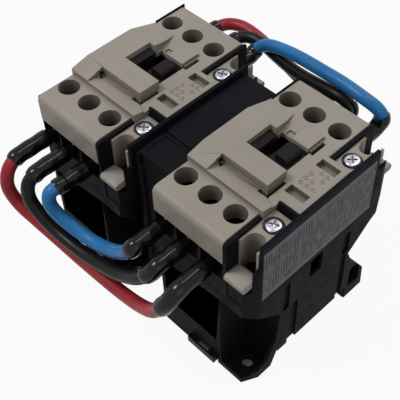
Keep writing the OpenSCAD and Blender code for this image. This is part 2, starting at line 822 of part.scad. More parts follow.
module carrier() {
    color("#1d1d20") difference() {
        union() {
            span(beam_x0, beam_x1, -carrier_y, carrier_y, beam_h0, beam_h1);
            // side arms that carry the interlock drive
            for (s = sides) {
                span(s > 0 ? arm_x0 : -arm_x1, s > 0 ? arm_x1 : -arm_x0, arm_y0 - wall, arm_y1 + wall,
                    arm_h0, beam_h0 + over);
            }
            // post and stepped indicator in the well
            span(post_x0, post_x1, brand_y1 + fit_gap, carrier_y, beam_h1 - fit_gap, step_mid_h);
            span(post_x0, step_x0, brand_y1 + fit_gap, step_y, beam_h1 - fit_gap, step_high_h);
            span(step_mid_x, post_x1, brand_y1 + 3 * fit_gap, step_y, beam_h1 - fit_gap, step_low_h);
            span(step_mid_x, post_x1, step_y - over, step_far_y, cover_side_h, step_low_h);
        }
        // slots in which the bridges and their springs sit
        for (x = [poles[0], poles[1], poles[2], aux_x]) {
            span(x - bridge_w / 2 - fit_gap, x + bridge_w / 2 + fit_gap, -carrier_y - over, carrier_y + over,
                bridge_h0 - fit_gap, bridge_h0 + bridge_slot_h);
        }
        // pockets for the drive tabs
        for (s = sides) {
            span(s > 0 ? arm_x0 - over : -arm_x1 - over, s > 0 ? arm_x1 + over : -arm_x0 + over,
                tab_y0 - fit_gap, tab_y1 + fit_gap,
                drive_tab_h0 - fit_gap, drive_tab_h0 + drive_tab_t + fit_gap);
        }
    }
}

module moving_contacts() {
    color("#c47a45") for (x = [poles[0], poles[1], poles[2], aux_x]) {
        span(x - bridge_w / 2, x + bridge_w / 2, -bridge_l / 2, bridge_l / 2, bridge_h0, bridge_h0 + bridge_t);
        for (s = sides) {
            translate([x, s * tip_y, bridge_h0 - tip_t]) cylinder(r = tip_r, h = tip_t);
        }
    }
}

module contact_springs() {
    h = bridge_slot_h - bridge_t - 2 * winding_gap;
    color("#b9bcc0") for (x = [poles[0], poles[1], poles[2], aux_x]) {
        translate([x, 0, bridge_h0 + bridge_t + winding_gap])
            coil_spring(contact_spring_r, contact_spring_wire, contact_spring_turns, h, 5);
    }
}

// Terminals

module contact_plate(x, out_y) {
    difference() {
        span(x - plate_w / 2, x + plate_w / 2, -out_y, -plate_in_y, plate_top_h - plate_t, plate_top_h);
        if (out_y > pole_row) {
            translate([x, -pole_row, plate_top_h - 2 * plate_t])
                cylinder(r = screw_r + fit_gap, h = 3 * plate_t);
        }
    }
    translate([x, -tip_y, plate_top_h]) cylinder(r = tip_r, h = tip_t);
}

module fixed_contacts() {
    aux_out = channel_y - 2 * wall;
    color("#c47a45") both_ends() {
        for (x = poles) contact_plate(x, plate_out_y);
        difference() {
            contact_plate(aux_x, aux_row + screw_r + 2 * wall);
            translate([aux_x, -aux_row, plate_top_h - 2 * plate_t])
                cylinder(r = screw_r + fit_gap, h = 3 * plate_t);
        }
    }
}

module screw_recess(h) {
    for (turn = [0, 90]) {
        translate([0, 0, h - recess_d]) rotate([0, 0, turn])
            translate([-recess_arm / 2, -recess_w / 2, 0]) cube([recess_arm, recess_w, recess_d + over]);
    }
}

// Pan-head screw on Z: the head's top at h, the shank down to low
module pan_screw(h, low, r) {
    difference() {
        union() {
            translate([0, 0, h - head_t]) cylinder(r = r, h = head_t - fit_gap);
            translate([0, 0, h - fit_gap]) cylinder(r1 = r, r2 = r - fit_gap, h = fit_gap);
            translate([0, 0, low]) cylinder(r = screw_r, h = h - head_t - low + fit_gap);
        }
        screw_recess(h);
    }
}

module clamp_washer() {
    difference() {
        translate([-washer_l / 2, -washer_l / 2, 0]) cube([washer_l, washer_l, washer_t]);
        translate([0, 0, -over]) cylinder(r = screw_r + fit_gap, h = washer_t + 2 * over);
    }
}

module terminal_screws() {
    color("#b4b7bb") both_ends() {
        for (x = poles) translate([x, -pole_row, 0]) {
            pan_screw(washer_h0 + washer_t + head_t, screw_end_h, head_r);
            translate([0, 0, washer_h0]) clamp_washer();
        }
        translate([aux_x, -aux_row, 0]) {
            pan_screw(aux_head_h + head_t / 2, plate_top_h - 2 * plate_t, aux_head_r);
        }
    }
}

module coil_terminals() {
    color("#c9b27a") for (s = sides) {
        difference() {
            span(s * coil_term_x - coil_term_w / 2, s * coil_term_x + coil_term_w / 2,
                coil_term_y0, coil_term_y1, coil_term_h, coil_term_h + plate_t);
            translate([s * coil_term_x, coil_term_screw_y, coil_term_h - over])
                cylinder(r = screw_r + pin_gap, h = plate_t + 2 * over);
        }
        translate([s * coil_term_x, coil_term_screw_y, 0])
            difference() {
                union() {
                    translate([0, 0, coil_term_h + plate_t])
                        cylinder(r = coil_term_w / 2 - fit_gap, h = head_t);
                    translate([0, 0, coil_term_h]) cylinder(r = screw_r, h = head_t);
                }
                screw_recess(coil_term_h + plate_t + head_t);
            }
    }
}

// Rail latch

module rail_latch() {
    color("#2c2c30") difference() {
        union() {
            span(-latch_x, latch_x, -latch_out_y, -latch_in_y - rail_lip_d, latch_h0, latch_h1);
            span(-latch_x, latch_x, -latch_in_y - rail_lip_d - over, -latch_in_y, latch_h0,
                rail_seat_h - rail_lip_t - 2 * fit_gap);
        }
        span(-latch_win_x, latch_win_x, -latch_win_near, -latch_win_far, latch_h0 - over, latch_h1 + over);
        span(-latch_pull_x, latch_pull_x, -latch_out_y + wall / 2, -latch_out_y + wall / 2 + latch_pull_t,
            latch_h0 - over, latch_h1 + over);
    }
}

module latch_spring() {
    y0 = -latch_win_near + fit_gap + latch_peg_t + winding_gap;
    h = -latch_win_far - winding_gap - y0;
    color("#b9bcc0") translate([0, y0, (latch_h0 + latch_h1) / 2]) rotate([-90, 0, 0])
        coil_spring(latch_spring_r, latch_spring_wire, latch_spring_turns, h, 6);
}

// Rating plate on the outer side of the right contactor
module rating_plate() {
    color("#8f8f96") span(half_w - rating_t, half_w, rating_y0, rating_y1, rating_h0, rating_h1);
}

// Interlock

lock_x0 = -lock_w / 2;
lock_x1 = lock_w / 2;

module lock_profile() {
    polygon([
        [-lock_near, lock_h0], [lock_far, lock_h0], [lock_far, lock_h1], [lock_step_y, lock_h1],
        [lock_step_y, lock_step_h], [-lock_near, lock_step_h]]);
}

module lock_windows() {
    span(lock_x0 - over, lock_x1 + over, drive_window_y0, drive_window_y1, drive_window_h, base_h);
}

module lock_screw_holes(r) {
    for (h = lock_screw_h) for (s = sides) {
        round_rod([lock_x1 - lock_lid_t - 4 * wall, s * lock_screw_y, h], r, [0, 90, 0], lock_w);
    }
}

module interlock_body() {
    color("#202024") difference() {
        union() {
            across(lock_x0, lock_x1 - lock_lid_t) lock_profile();
            // upright bead on the near edge
            translate([lock_x0 + lock_rib_r, -lock_near, lock_h0])
                cylinder(r = lock_rib_r, h = lock_step_h - lock_h0);
        }
        span(lock_x0 + lock_wall, lock_x1, -slide_y - slide_gap, slide_y + slide_gap,
            rocker_h - 2 * rocker_hub_r, slide_h1 + lock_wall);
        lock_windows();
        lock_screw_holes(lock_screw_r);
        round_rod([lock_x0 - over, 0, rocker_h], lock_pin_r + pin_gap, [0, 90, 0], lock_w + 2 * over);
    }
}

module interlock_lid() {
    color("#202024") difference() {
        across(lock_x1 - lock_lid_t, lock_x1) lock_profile();
        lock_windows();
        for (h = lock_screw_h) for (s = sides) {
            round_rod([lock_x1 - lock_lid_t - over, s * lock_screw_y, h], lock_screw_r, [0, 90, 0], lock_w);
            round_rod([lock_x1 - lock_lid_t / 2, s * lock_screw_y, h], lock_screw_head_r + fit_gap,
                [0, 90, 0], lock_w);
        }
        round_rod([lock_x0 - over, 0, rocker_h], lock_pin_r + pin_gap, [0, 90, 0], lock_w + 2 * over);
    }
}

module interlock_screws() {
    color("#9a9da1") for (h = lock_screw_h) for (s = sides) {
        difference() {
            union() {
                round_rod([lock_x1 - lock_lid_t - 3 * wall, s * lock_screw_y, h], lock_screw_r - pin_gap,
                    [0, 90, 0], 3 * wall + lock_lid_t / 2);
                round_rod([lock_x1 - lock_lid_t / 2, s * lock_screw_y, h], lock_screw_head_r,
                    [0, 90, 0], lock_lid_t / 2 - pin_gap);
            }
            span(lock_x1 - lock_lid_t / 3, lock_x1 + over, s * lock_screw_y - lock_screw_head_r / 2,
                s * lock_screw_y + lock_screw_head_r / 2, h - recess_w / 2, h + recess_w / 2);
        }
    }
}

// One slide with its foot at one end and its drive tab reaching into the carrier
module lock_slide(side) {
    x0 = side < 0 ? -slide_mid_gap / 2 - slide_t : slide_mid_gap / 2;
    x1 = x0 + slide_t;
    tab_x0 = side < 0 ? lock_x0 - tab_reach : x1 - over;
    tab_x1 = side < 0 ? x0 + over : lock_x1 + tab_reach;
    difference() {
        union() {
            span(x0, x1, -slide_y, slide_y, slide_h0, slide_h1);
            span(tab_x0, tab_x1, tab_y0, tab_y1, drive_tab_h0, drive_tab_h0 + drive_tab_t);
        }
        span(x0 - over, x1 + over, side < 0 ? -slide_y + slide_foot : -slide_y - over,
            side < 0 ? slide_y + over : slide_y - slide_foot, slide_h0 - over, slide_cut_h);
    }
}

module interlock_left_slide() {
    color("#d8d4c6") lock_slide(-1);
}

module interlock_right_slide() {
    color("#d8d4c6") lock_slide(1);
}

module interlock_rocker() {
    color("#d8d4c6") difference() {
        union() {
            span(-rocker_w / 2, rocker_w / 2, -rocker_l / 2, rocker_l / 2,
                rocker_h - rocker_t / 2, rocker_h + rocker_t / 2);
            round_rod([-rocker_w / 2, 0, rocker_h], rocker_hub_r, [0, 90, 0], rocker_w);
        }
        round_rod([-rocker_w, 0, rocker_h], lock_pin_r + pin_gap, [0, 90, 0], 2 * rocker_w);
    }
}

module interlock_pin() {
    color("#9a9da1") round_rod([lock_x0 + fit_gap, 0, rocker_h], lock_pin_r, [0, 90, 0], lock_w - 2 * fit_gap);
}

// Link wires

module link_wire(route, end_sign) {
    inner = half_l - wall;
    body = smooth_route(route, wire_steps);
    first = [route[0][0], end_sign * inner, wire_h];
    last = [route[len(route) - 1][0], end_sign * inner, wire_h];
    swept_rod(concat([first], body, [last]), wire_r, wire_sides);
}

module shrink_sleeves() {
    color("#151517") for (s = sides) for (c = sides) for (x = poles) {
        difference() {
            round_rod([c * contactor_pitch / 2 + x + wire_x, s * (half_l + slide_gap), wire_h], sleeve_r,
                [-s * 90, 0, 0], sleeve_out - slide_gap);
            round_rod([c * contactor_pitch / 2 + x + wire_x, s * half_l, wire_h], wire_r + pin_gap,
                [-s * 90, 0, 0], sleeve_out + over);
        }
    }
}

module wire_ferrules() {
    color("#c9a24a") for (s = sides) for (c = sides) for (x = poles) {
        round_rod([c * contactor_pitch / 2 + x + ferrule_x, s * ferrule_in, wire_h], ferrule_r,
            [-s * 90, 0, 0], half_l - wall - ferrule_in);
    }
}

on_contactor(-1) base();  // left_base
on_contactor(-1) housing();  // left_housing
on_contactor(-1) cover();  // left_cover
on_contactor(-1) aux_shrouds();  // left_aux_shrouds
on_contactor(-1) carrier();  // left_carrier
on_contactor(-1) armature();  // left_armature
on_contactor(-1) core();  // left_core
on_contactor(-1) coil_bobbin();  // left_coil_bobbin
on_contactor(-1) coil_winding();  // left_coil_winding
on_contactor(-1) return_springs();  // left_return_springs
on_contactor(-1) moving_contacts();  // left_moving_contacts
on_contactor(-1) contact_springs();  // left_contact_springs
on_contactor(-1) fixed_contacts();  // left_fixed_contacts
on_contactor(-1) terminal_screws();  // left_terminal_screws
on_contactor(-1) coil_terminals();  // left_coil_terminals
on_contactor(-1) rail_latch();  // left_rail_latch
on_contactor(-1) latch_spring();  // left_latch_spring
on_contactor(1) base();  // right_base
on_contactor(1) housing();  // right_housing
on_contactor(1) cover();  // right_cover
on_contactor(1) aux_shrouds();  // right_aux_shrouds
on_contactor(1) carrier();  // right_carrier
on_contactor(1) armature();  // right_armature
on_contactor(1) core();  // right_core
on_contactor(1) coil_bobbin();  // right_coil_bobbin
on_contactor(1) coil_winding();  // right_coil_winding
on_contactor(1) return_springs();  // right_return_springs
on_contactor(1) moving_contacts();  // right_moving_contacts
on_contactor(1) contact_springs();  // right_contact_springs
on_contactor(1) fixed_contacts();  // right_fixed_contacts
on_contactor(1) terminal_screws();  // right_terminal_screws
on_contactor(1) coil_terminals();  // right_coil_terminals
on_contactor(1) rail_latch();  // right_rail_latch
on_contactor(1) latch_spring();  // right_latch_spring
on_contactor(1) rating_plate();
interlock_body();
interlock_lid();
interlock_screws();
interlock_left_slide();
interlock_right_slide();
interlock_rocker();
interlock_pin();
color("#b5393b") link_wire(near_routes[0], -1);  // near_wire_1
color("#19191b") link_wire(near_routes[1], -1);  // near_wire_2
color("#2b86c8") link_wire(near_routes[2], -1);  // near_wire_3
color("#b5393b") link_wire(far_routes[0], 1);  // far_wire_1
color("#19191b") link_wire(far_routes[1], 1);  // far_wire_2
color("#2b86c8") link_wire(far_routes[2], 1);  // far_wire_3
shrink_sleeves();
wire_ferrules();
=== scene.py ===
"""Scene of a reversing motor starter: finishes, softened mouldings, wires, screws, light and camera.

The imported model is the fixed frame. Every class below holds the sizes of one sub-assembly in
metres and builds or dresses its pieces in that frame.
"""

import logging
import math
from collections.abc import Iterable
from dataclasses import dataclass
from enum import Enum

import bmesh
import bpy
from mathutils import Matrix, Vector


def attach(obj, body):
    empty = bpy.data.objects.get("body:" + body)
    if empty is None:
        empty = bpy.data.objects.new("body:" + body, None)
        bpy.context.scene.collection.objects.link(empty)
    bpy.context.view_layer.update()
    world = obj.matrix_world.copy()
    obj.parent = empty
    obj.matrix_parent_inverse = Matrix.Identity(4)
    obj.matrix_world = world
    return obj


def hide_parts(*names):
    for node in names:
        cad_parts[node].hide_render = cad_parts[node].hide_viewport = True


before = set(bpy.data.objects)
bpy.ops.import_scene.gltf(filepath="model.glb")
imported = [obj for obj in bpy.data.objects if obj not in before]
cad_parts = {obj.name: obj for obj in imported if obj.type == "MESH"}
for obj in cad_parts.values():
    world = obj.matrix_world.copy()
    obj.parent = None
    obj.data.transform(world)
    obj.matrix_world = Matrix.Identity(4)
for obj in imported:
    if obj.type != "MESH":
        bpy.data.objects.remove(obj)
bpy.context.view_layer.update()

LOG = logging.getLogger("starter")

Colour = tuple[float, float, float]
Point = tuple[float, float, float]
Span = tuple[float, float]
Piece = bpy.types.Object
Mesh = bpy.types.Mesh
Material = bpy.types.Material
Socket = bpy.types.NodeSocket
Shell = bmesh.types.BMesh

MM = 0.001
WHITE = (1.0, 1.0, 1.0, 1.0)
FRAME_BODY = "frame"
CENTRE_DISTANCE = 62.0 * MM
MERGE_DISTANCE = 0.002 * MM
FLAT_ANGLE = math.radians(0.6)
MOULD_EDGE_ANGLE = math.radians(28)
MOULD_EDGE_PROFILE = 0.6
FACE_WEIGHT = 90
EDGE_SEGMENTS = 2
NO_DIVISION = 1e-9


class Side(Enum):
    """The two contactors, by their place across the starter."""

    LEFT = "left"
    RIGHT = "right"

    @property
    def sign(self) -> int:
        """-1 for the left contactor and 1 for the right one."""
        return -1 if self is Side.LEFT else 1

    @property
    def centre(self) -> float:
        """Where the contactor stands across the starter."""
        return self.sign * CENTRE_DISTANCE / 2


class End(Enum):
    """The two ends of a contactor."""

    LOAD = -1
    LINE = 1


class Graph:
    """A small writer for node trees."""

    def __init__(self, tree: bpy.types.NodeTree) -> None:
        """Takes a tree and empties it."""
        self.tree = tree
        tree.nodes.clear()

    def feed(self, node: bpy.types.Node, inputs: dict[str | int, object]) -> None:
        """Sets or links inputs of a node.

        Args:
            node: the node.
            inputs: a number, colour or socket for each input, by its name or place.
        """
        for key, value in inputs.items():
            if isinstance(value, Socket):
                self.tree.links.new(value, node.inputs[key])
            else:
                node.inputs[key].default_value = value

    def add(self, kind: str, inputs: dict[str | int, object] | None = None,
            **settings: object) -> bpy.types.Node:
        """Adds one node.

        Args:
            kind: the node's type.
            inputs: what its inputs get.
            settings: the node's own properties, set before its inputs.

        Returns:
            The node.
        """
        node = self.tree.nodes.new(kind)
        for name, value in settings.items():
            setattr(node, name, value)
        self.feed(node, inputs or {})
        return node

    def maths(self, operation: str, one: Socket, other: Socket | float) -> Socket:
        """The result of one arithmetic node."""
        return self.add("ShaderNodeMath", {0: one, 1: other}, operation=operation).outputs[0]

    def seen(self) -> Socket:
        """A value that is 1 for what is seen straight, mirrored or through something clear.

        Returns:
            The value socket.
        """
        path = self.add("ShaderNodeLightPath").outputs
        straight_or_mirrored = self.maths("MAXIMUM", path["Is Camera Ray"], path["Is Glossy Ray"])
        return self.maths("MAXIMUM", straight_or_mirrored, path["Is Transmission Ray"])

    def blend(self, share: Socket, one: bpy.types.Node, other: bpy.types.Node) -> Socket:
        """Two shaders mixed by a share, where 0 gives the first one."""
        return self.add("ShaderNodeMixShader",
                        {"Fac": share, 1: one.outputs[0], 2: other.outputs[0]}).outputs[0]


class Tree(Graph):
    """The node tree of one surface material."""

    def __init__(self, name: str) -> None:
        """Starts a material round one shader.

        Args:
            name: the material's name.
        """
        self.material = bpy.data.materials.new(name)
        self.material.use_nodes = True
        super().__init__(self.material.node_tree)
        self.shader = self.add("ShaderNodeBsdfPrincipled")
        self.add("ShaderNodeOutputMaterial", {0: self.shader.outputs[0]})
        self.coordinates = self.add("ShaderNodeTexCoord").outputs["Object"]

    def stretched(self, scale: Point) -> Socket:
        """Object coordinates scaled by axis."""
        return self.add("ShaderNodeMapping", {"Scale": scale, "Vector": self.coordinates}).outputs[0]

    def noise(self, scale: float, detail: float = 3.0, rough: float = 0.5,
              vector: Socket | None = None) -> Socket:
        """Noise on object coordinates.

        Args:
            scale: noise cells per metre.
            detail: octaves.
            rough: how strong the fine octaves are.
            vector: other coordinates to read.

        Returns:
            The factor socket.
        """
        place = self.coordinates if vector is None else vector
        return self.add("ShaderNodeTexNoise", {"Scale": scale, "Detail": detail, "Roughness": rough,
                                               "Vector": place}).outputs[0]

    def bands(self, scale: float, axis: str, distortion: float) -> Socket:
        """Straight bands across one axis.

        Args:
            scale: the band scale of the wave texture.
            axis: X, Y or Z.
            distortion: how uneven the bands are.

        Returns:
            The factor socket.
        """
        return self.add("ShaderNodeTexWave",
                        {"Scale": scale, "Distortion": distortion, "Detail": 1.0,
                         "Vector": self.coordinates},
                        wave_type="BANDS", bands_direction=axis).outputs["Fac"]

    def ranged(self, value: Socket, low: float, high: float,
               start: float = 0.3, end: float = 0.7) -> Socket:
        """Maps one range of a value onto another and clamps it.

        Args:
            value: the value socket.
            low: what the start of the range becomes.
            high: what its end becomes.
            start: start of the range.
            end: end of the range.

        Returns:
            The value socket.
        """
        return self.add("ShaderNodeMapRange",
                        {"From Min": start, "From Max": end, "To Min": low, "To Max": high,
                         "Value": value}).outputs["Result"]

    def mixed(self, factor: Socket, one: Colour | Socket, other: Colour | Socket) -> Socket:
        """A colour between two.

        Args:
            factor: 0 gives the first colour.
            one: a colour or a colour socket.
            other: a colour or a colour socket.

        Returns:
            The colour socket.
        """
        first, second = ((*c, 1.0) if isinstance(c, tuple) else c for c in (one, other))
        return self.add("ShaderNodeMix", {0: factor, 6: first, 7: second}, data_type="RGBA").outputs[2]

    def bump(self, height: Socket, distance: float, strength: float,
             under: Socket | None = None) -> Socket:
        """A bump normal.

        Args:
            height: the height value.
            distance: metres that a height of 1 stands for.
            strength: how much of it shows.
            under: a normal to build on.

        Returns:
            The normal socket.
        """
        inputs = {"Strength": strength, "Distance": distance, "Height": height}
        if under is not None:
            inputs["Normal"] = under
        return self.add("ShaderNodeBump", inputs).outputs[0]

    def finished(self, inputs: dict[str, Socket | float]) -> Material:
        """Sets or links the shader's own sockets and gives the material."""
        self.feed(self.shader, inputs)
        return self.material


@dataclass(frozen=True)
class Moulding:
    """Injection moulded plastic with a fine spark-eroded grain."""

    name: str
    colour: Colour
    shade: Colour
    slot: str
    roughness: Span = (0.42, 0.58)
    grain: float = 3200.0
    grain_depth: float = 0.02 * MM
    dust: Colour = (0.5, 0.48, 0.44)
    dust_share: float = 0.0
    gloss: float = 0.4
    # Painted shade: strength, colour and reach of the darkening that ambient occlusion paints into
    # corners, holes and recesses.
    crevice_shade: float = 0.0
    crevice_shade_colour: Colour = (0.045, 0.036, 0.028)
    crevice_shade_reach: float = 12.0 * MM
    cloud_scale: float = 28.0
    speck_scale: float = 900.0
    sheen_scale: float = 170.0
    sink_scale: float = 55.0
    sink_depth: float = 0.05 * MM

    def material(self) -> Material:
        """The finish as a material.

        Returns:
            The material: clouded colour, specks of dust, painted shade darkening its corners and hollows,
                grain and sink marks.
        """
        tree = Tree(self.name)
        cloud = tree.ranged(tree.noise(self.cloud_scale, 4.0, 0.55), 0.0, 1.0)
        colour = tree.mixed(cloud, self.colour, self.shade)
        if self.dust_share > 0:
            specks = tree.noise(self.speck_scale, 5.0, 0.7)
            colour = tree.mixed(tree.ranged(specks, 0.0, self.dust_share, 0.55, 0.78), colour, self.dust)
        # Painted shade: ambient occlusion darkens corners, holes and recesses towards a dark brown.
        if self.crevice_shade > 0:
            corner = tree.add("ShaderNodeAmbientOcclusion", {"Distance": self.crevice_shade_reach},
                              only_local=True, samples=8)
            painted_shade = tree.ranged(corner.outputs["AO"], self.crevice_shade, 0.0, 0.15, 0.75)
            colour = tree.mixed(painted_shade, colour, self.crevice_shade_colour)
        grain = tree.bump(tree.noise(self.grain, 2.0, 0.5), self.grain_depth, 0.55)
        return tree.finished({
            "Base Color": colour,
            "Roughness": tree.ranged(tree.noise(self.sheen_scale, 4.0, 0.6), *self.roughness),
            "Normal": tree.bump(tree.noise(self.sink_scale, 2.0), self.sink_depth, 0.35, grain),
            "Specular IOR Level": self.gloss})


@dataclass(frozen=True)
class BareMetal:
    """Plated or bare metal with fine rubbed marks."""

    name: str
    colour: Colour
    shade: Colour
    slot: str
    roughness: Span = (0.2, 0.38)
    marks: Point = (900.0, 160.0, 900.0)
    stain_scale: float = 420.0
    mark_depth: float = 0.01 * MM

    def material(self) -> Material:
        """The finish as a material.

        Returns:
            The material: stained metal with rubbed marks along one axis.
        """
        tree = Tree(self.name)
        stain = tree.ranged(tree.noise(self.stain_scale, 4.0, 0.6), 0.0, 1.0)
        rub = tree.noise(3.0, 3.0, 0.6, tree.stretched(self.marks))
        return tree.finished({
            "Metallic": 1.0,
            "Base Color": tree.mixed(stain, self.colour, self.shade),
            "Roughness": tree.ranged(rub, *self.roughness),
            "Normal": tree.bump(rub, self.mark_depth, 0.4)})


@dataclass(frozen=True)
class Banded:
    """A finish built up in layers, such as stacked sheet steel or wound wire."""

    name: str
    colour: Colour
    shade: Colour
    slot: str
    axis: str
    scale: float
    metallic: float = 1.0
    roughness: Span = (0.3, 0.45)
    depth: float = 0.06 * MM
    sheen_scale: float = 200.0

    def material(self) -> Material:
        """The finish as a material.

        Returns:
            The material: bands of two colours, each with its own height.
        """
        tree = Tree(self.name)
        band = tree.bands(self.scale, self.axis, 0.15)
        return tree.finished({
            "Metallic": self.metallic,
            "Base Color": tree.mixed(band, self.shade, self.colour),
            "Roughness": tree.ranged(tree.noise(self.sheen_scale), *self.roughness),
            "Normal": tree.bump(band, self.depth, 0.8)})


@dataclass(frozen=True)
class Insulation:
    """Soft wire insulation or a shrunk sleeve."""

    name: str
    colour: Colour
    shade: Colour
    slot: str
    roughness: Span
    coat: float
    wrinkle: float = 0.03 * MM
    wrinkle_scale: float = 260.0
    gloss: float = 0.15
    cloud_scale: float = 90.0
    sheen_scale: float = 340.0
    pore_scale: float = 2600.0
    pore_depth: float = 0.008 * MM

    def material(self) -> Material:
        """The finish as a material.

        Returns:
            The material: clouded colour under a thin coat, with pores and wrinkles.
        """
        tree = Tree(self.name)
        cloud = tree.ranged(tree.noise(self.cloud_scale, 3.0, 0.6), 0.0, 1.0)
        pores = tree.bump(tree.noise(self.pore_scale, 2.0), self.pore_depth, 0.4)
        folds = tree.noise(self.wrinkle_scale, 2.0)
        return tree.finished({
            "Base Color": tree.mixed(cloud, self.colour, self.shade),
            "Roughness": tree.ranged(tree.noise(self.sheen_scale, 3.0), *self.roughness),
            "Normal": tree.bump(folds, self.wrinkle, 0.6, pores),
            "Specular IOR Level": self.gloss,
            "Coat Weight": self.coat,
            "Coat Roughness": 0.12})


@dataclass(frozen=True)
class PrintedPlate:
    """Grey foil with rows of blank bars and a bare margin."""

    name: str
    colour: Colour
    ink: Colour
    slot: str
    row_pitch: float = 1.25 * MM
    row_share: float = 0.58
    row_sway: float = 1.1
    print_z: Span = (53.2 * MM, 73.8 * MM)
    break_scale: float = 190.0
    stroke_scale: Span = (1700.0, 1400.0)
    roughness: Span = (0.34, 0.5)
    shade_share: float = 0.86

    def material(self) -> Material:
        """The finish as a material.

        Returns:
            The material: foil with rows that noise breaks up into bars and short strokes.
        """
        tree = Tree(self.name)
        parts = tree.add("ShaderNodeSeparateXYZ", {0: tree.coordinates}).outputs
        sway = tree.maths("MULTIPLY", tree.noise(70.0, 1.0), self.row_sway)
        place = tree.maths("ADD", tree.maths("MULTIPLY", parts["Y"], 1 / self.row_pitch), sway)
        breaks = tree.noise(1.0, 3.0, 0.6, tree.stretched((0.0, 0.55 / self.row_pitch, self.break_scale)))
        strokes = tree.noise(1.0, 1.0, 0.5, tree.stretched((0.0, *self.stroke_scale)))
        printed = tree.maths("LESS_THAN", tree.maths("FRACT", place, 0.0), self.row_share)
        for mask in (tree.ranged(breaks, 0.08, 1.0, 0.43, 0.48),
                     tree.ranged(strokes, 0.35, 1.0, 0.38, 0.52),
                     tree.maths("GREATER_THAN", parts["Z"], self.print_z[0]),
                     tree.maths("LESS_THAN", parts["Z"], self.print_z[1])):
            printed = tree.maths("MULTIPLY", printed, mask)
        cloud = tree.ranged(tree.noise(60.0, 4.0), 0.0, 1.0)
        foil = tree.mixed(cloud, self.colour, tuple(c * self.shade_share for c in self.colour))
        return tree.finished({
            "Base Color": tree.mixed(printed, foil, self.ink),
            "Roughness": tree.ranged(tree.noise(300.0, 3.0), *self.roughness),
            "Normal": tree.bump(tree.noise(900.0, 2.0), 0.01 * MM, 0.5),
            "Specular IOR Level": 0.08})


Finish = Moulding | BareMetal | Banded | Insulation | PrintedPlate


class Palette:
    """Every finish of the starter, made once."""

    black = Moulding("black_moulding", (0.0088, 0.0084, 0.0108), (0.0056, 0.0054, 0.0072),
                     "black_moulding", (0.46, 0.62), dust_share=0.06, dust=(0.05, 0.049, 0.05),
                     gloss=0.022)
    # The cream moulding has dust specks, plus painted shade in its corners and holes.
    cream = Moulding("cream_moulding", (0.252, 0.225, 0.193), (0.212, 0.188, 0.16),
                     "cream_moulding", (0.42, 0.56), dust_share=0.16, dust=(0.12, 0.1, 0.075),
                     gloss=0.22, crevice_shade=0.75)
    carrier = Moulding("carrier_moulding", (0.0105, 0.0085, 0.0092), (0.0068, 0.0058, 0.0062),
                       "carrier_moulding", (0.36, 0.5), grain=2200.0, gloss=0.08)
    nylon = Moulding("slide_moulding", (0.5, 0.48, 0.42), (0.44, 0.42, 0.36),
                     "cream_moulding", (0.35, 0.5))
    zinc = BareMetal("zinc_plating", (0.6, 0.61, 0.65), (0.3, 0.3, 0.36), "plated_steel", (0.12, 0.3))
    spring = BareMetal("spring_wire", (0.5, 0.5, 0.52), (0.36, 0.36, 0.38), "spring_steel")
    copper = BareMetal("contact_copper", (0.72, 0.36, 0.2), (0.5, 0.24, 0.13), "contact_copper")
    tin = BareMetal("tinned_ferrule", (0.66, 0.55, 0.36), (0.5, 0.4, 0.24), "contact_copper")
    magnet = Banded("stacked_sheet", (0.42, 0.43, 0.44), (0.2, 0.2, 0.21), "magnet_steel", "Y", 320.0)
    winding = Banded("enamelled_wire", (0.42, 0.12, 0.04), (0.16, 0.04, 0.015),
                     "copper_wire", "Z", 620.0, 0.7)
    plate = PrintedPlate("printed_foil", (0.112, 0.107, 0.124), (0.006, 0.0055, 0.008), "plate_foil")
    red = Insulation("red_insulation", (0.285, 0.021, 0.028), (0.21, 0.015, 0.02),
                     "red_insulation", (0.32, 0.46), 0.05)
    dark = Insulation("black_insulation", (0.0085, 0.0083, 0.0092), (0.0055, 0.0054, 0.006),
                      "black_insulation", (0.3, 0.42), 0.03, gloss=0.12)
    blue = Insulation("blue_insulation", (0.02, 0.142, 0.34), (0.014, 0.108, 0.27),
                      "blue_insulation", (0.32, 0.46), 0.05)
    sleeve = Insulation("shrink_sleeve", (0.0045, 0.0045, 0.005), (0.003, 0.003, 0.0034),
                        "sleeve_plastic", (0.12, 0.2), 0.04, 0.05 * MM, 240.0, 0.2)

    def __init__(self) -> None:
        """Starts with no material made."""
        self.made: dict[str, Material] = {}

    def material(self, finish: Finish) -> Material:
        """The material of a finish, made the first time it is asked for.

        Args:
            finish: the finish.

        Returns:
            Its material.
        """
        if finish.name not in self.made:
            self.made[finish.name] = finish.material()
        return self.made[finish.name]

    def paint(self, piece: Piece, finish: Finish) -> None:
        """Gives a piece or CAD node one finish on all its faces.

        Args:
            piece: the object.
            finish: the finish.
        """
        piece.data.materials.clear()
        piece.data.materials.append(self.material(finish))

    def fit(self, piece: Piece, finish: Finish, body: str, node: str) -> Piece:
        """Paints a piece and puts it on its body in place of a CAD node.

        Args:
            piece: the piece.
            finish: its finish.
            body: the body it rides on.
            node: the CAD node it stands for.

        Returns:
            The piece.
        """
        self.paint(piece, finish)
        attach(piece, body)
        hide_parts(node)
        return piece


def new_piece(name: str, mesh: Mesh) -> Piece:
    """Links a mesh as an object at the origin.

    Args:
        name: the piece's name.
        mesh: its mesh, in the row frame.

    Returns:
        The object.
    """
    mesh.name = name
    piece = bpy.data.objects.new(name, mesh)
    bpy.context.scene.collection.objects.link(piece)
    return piece


def applied(piece: Piece) -> Piece:
    """Turns a piece's modifiers into plain mesh.

    Args:
        piece: the piece, whose modifiers are removed.

    Returns:
        The piece.
    """
    bpy.context.view_layer.update()
    evaluated = piece.evaluated_get(bpy.context.evaluated_depsgraph_get())
    mesh = bpy.data.meshes.new_from_object(evaluated)
    piece.modifiers.clear()
    old = piece.data
    piece.data = mesh
    if old.users == 0:
        bpy.data.meshes.remove(old)
    return piece


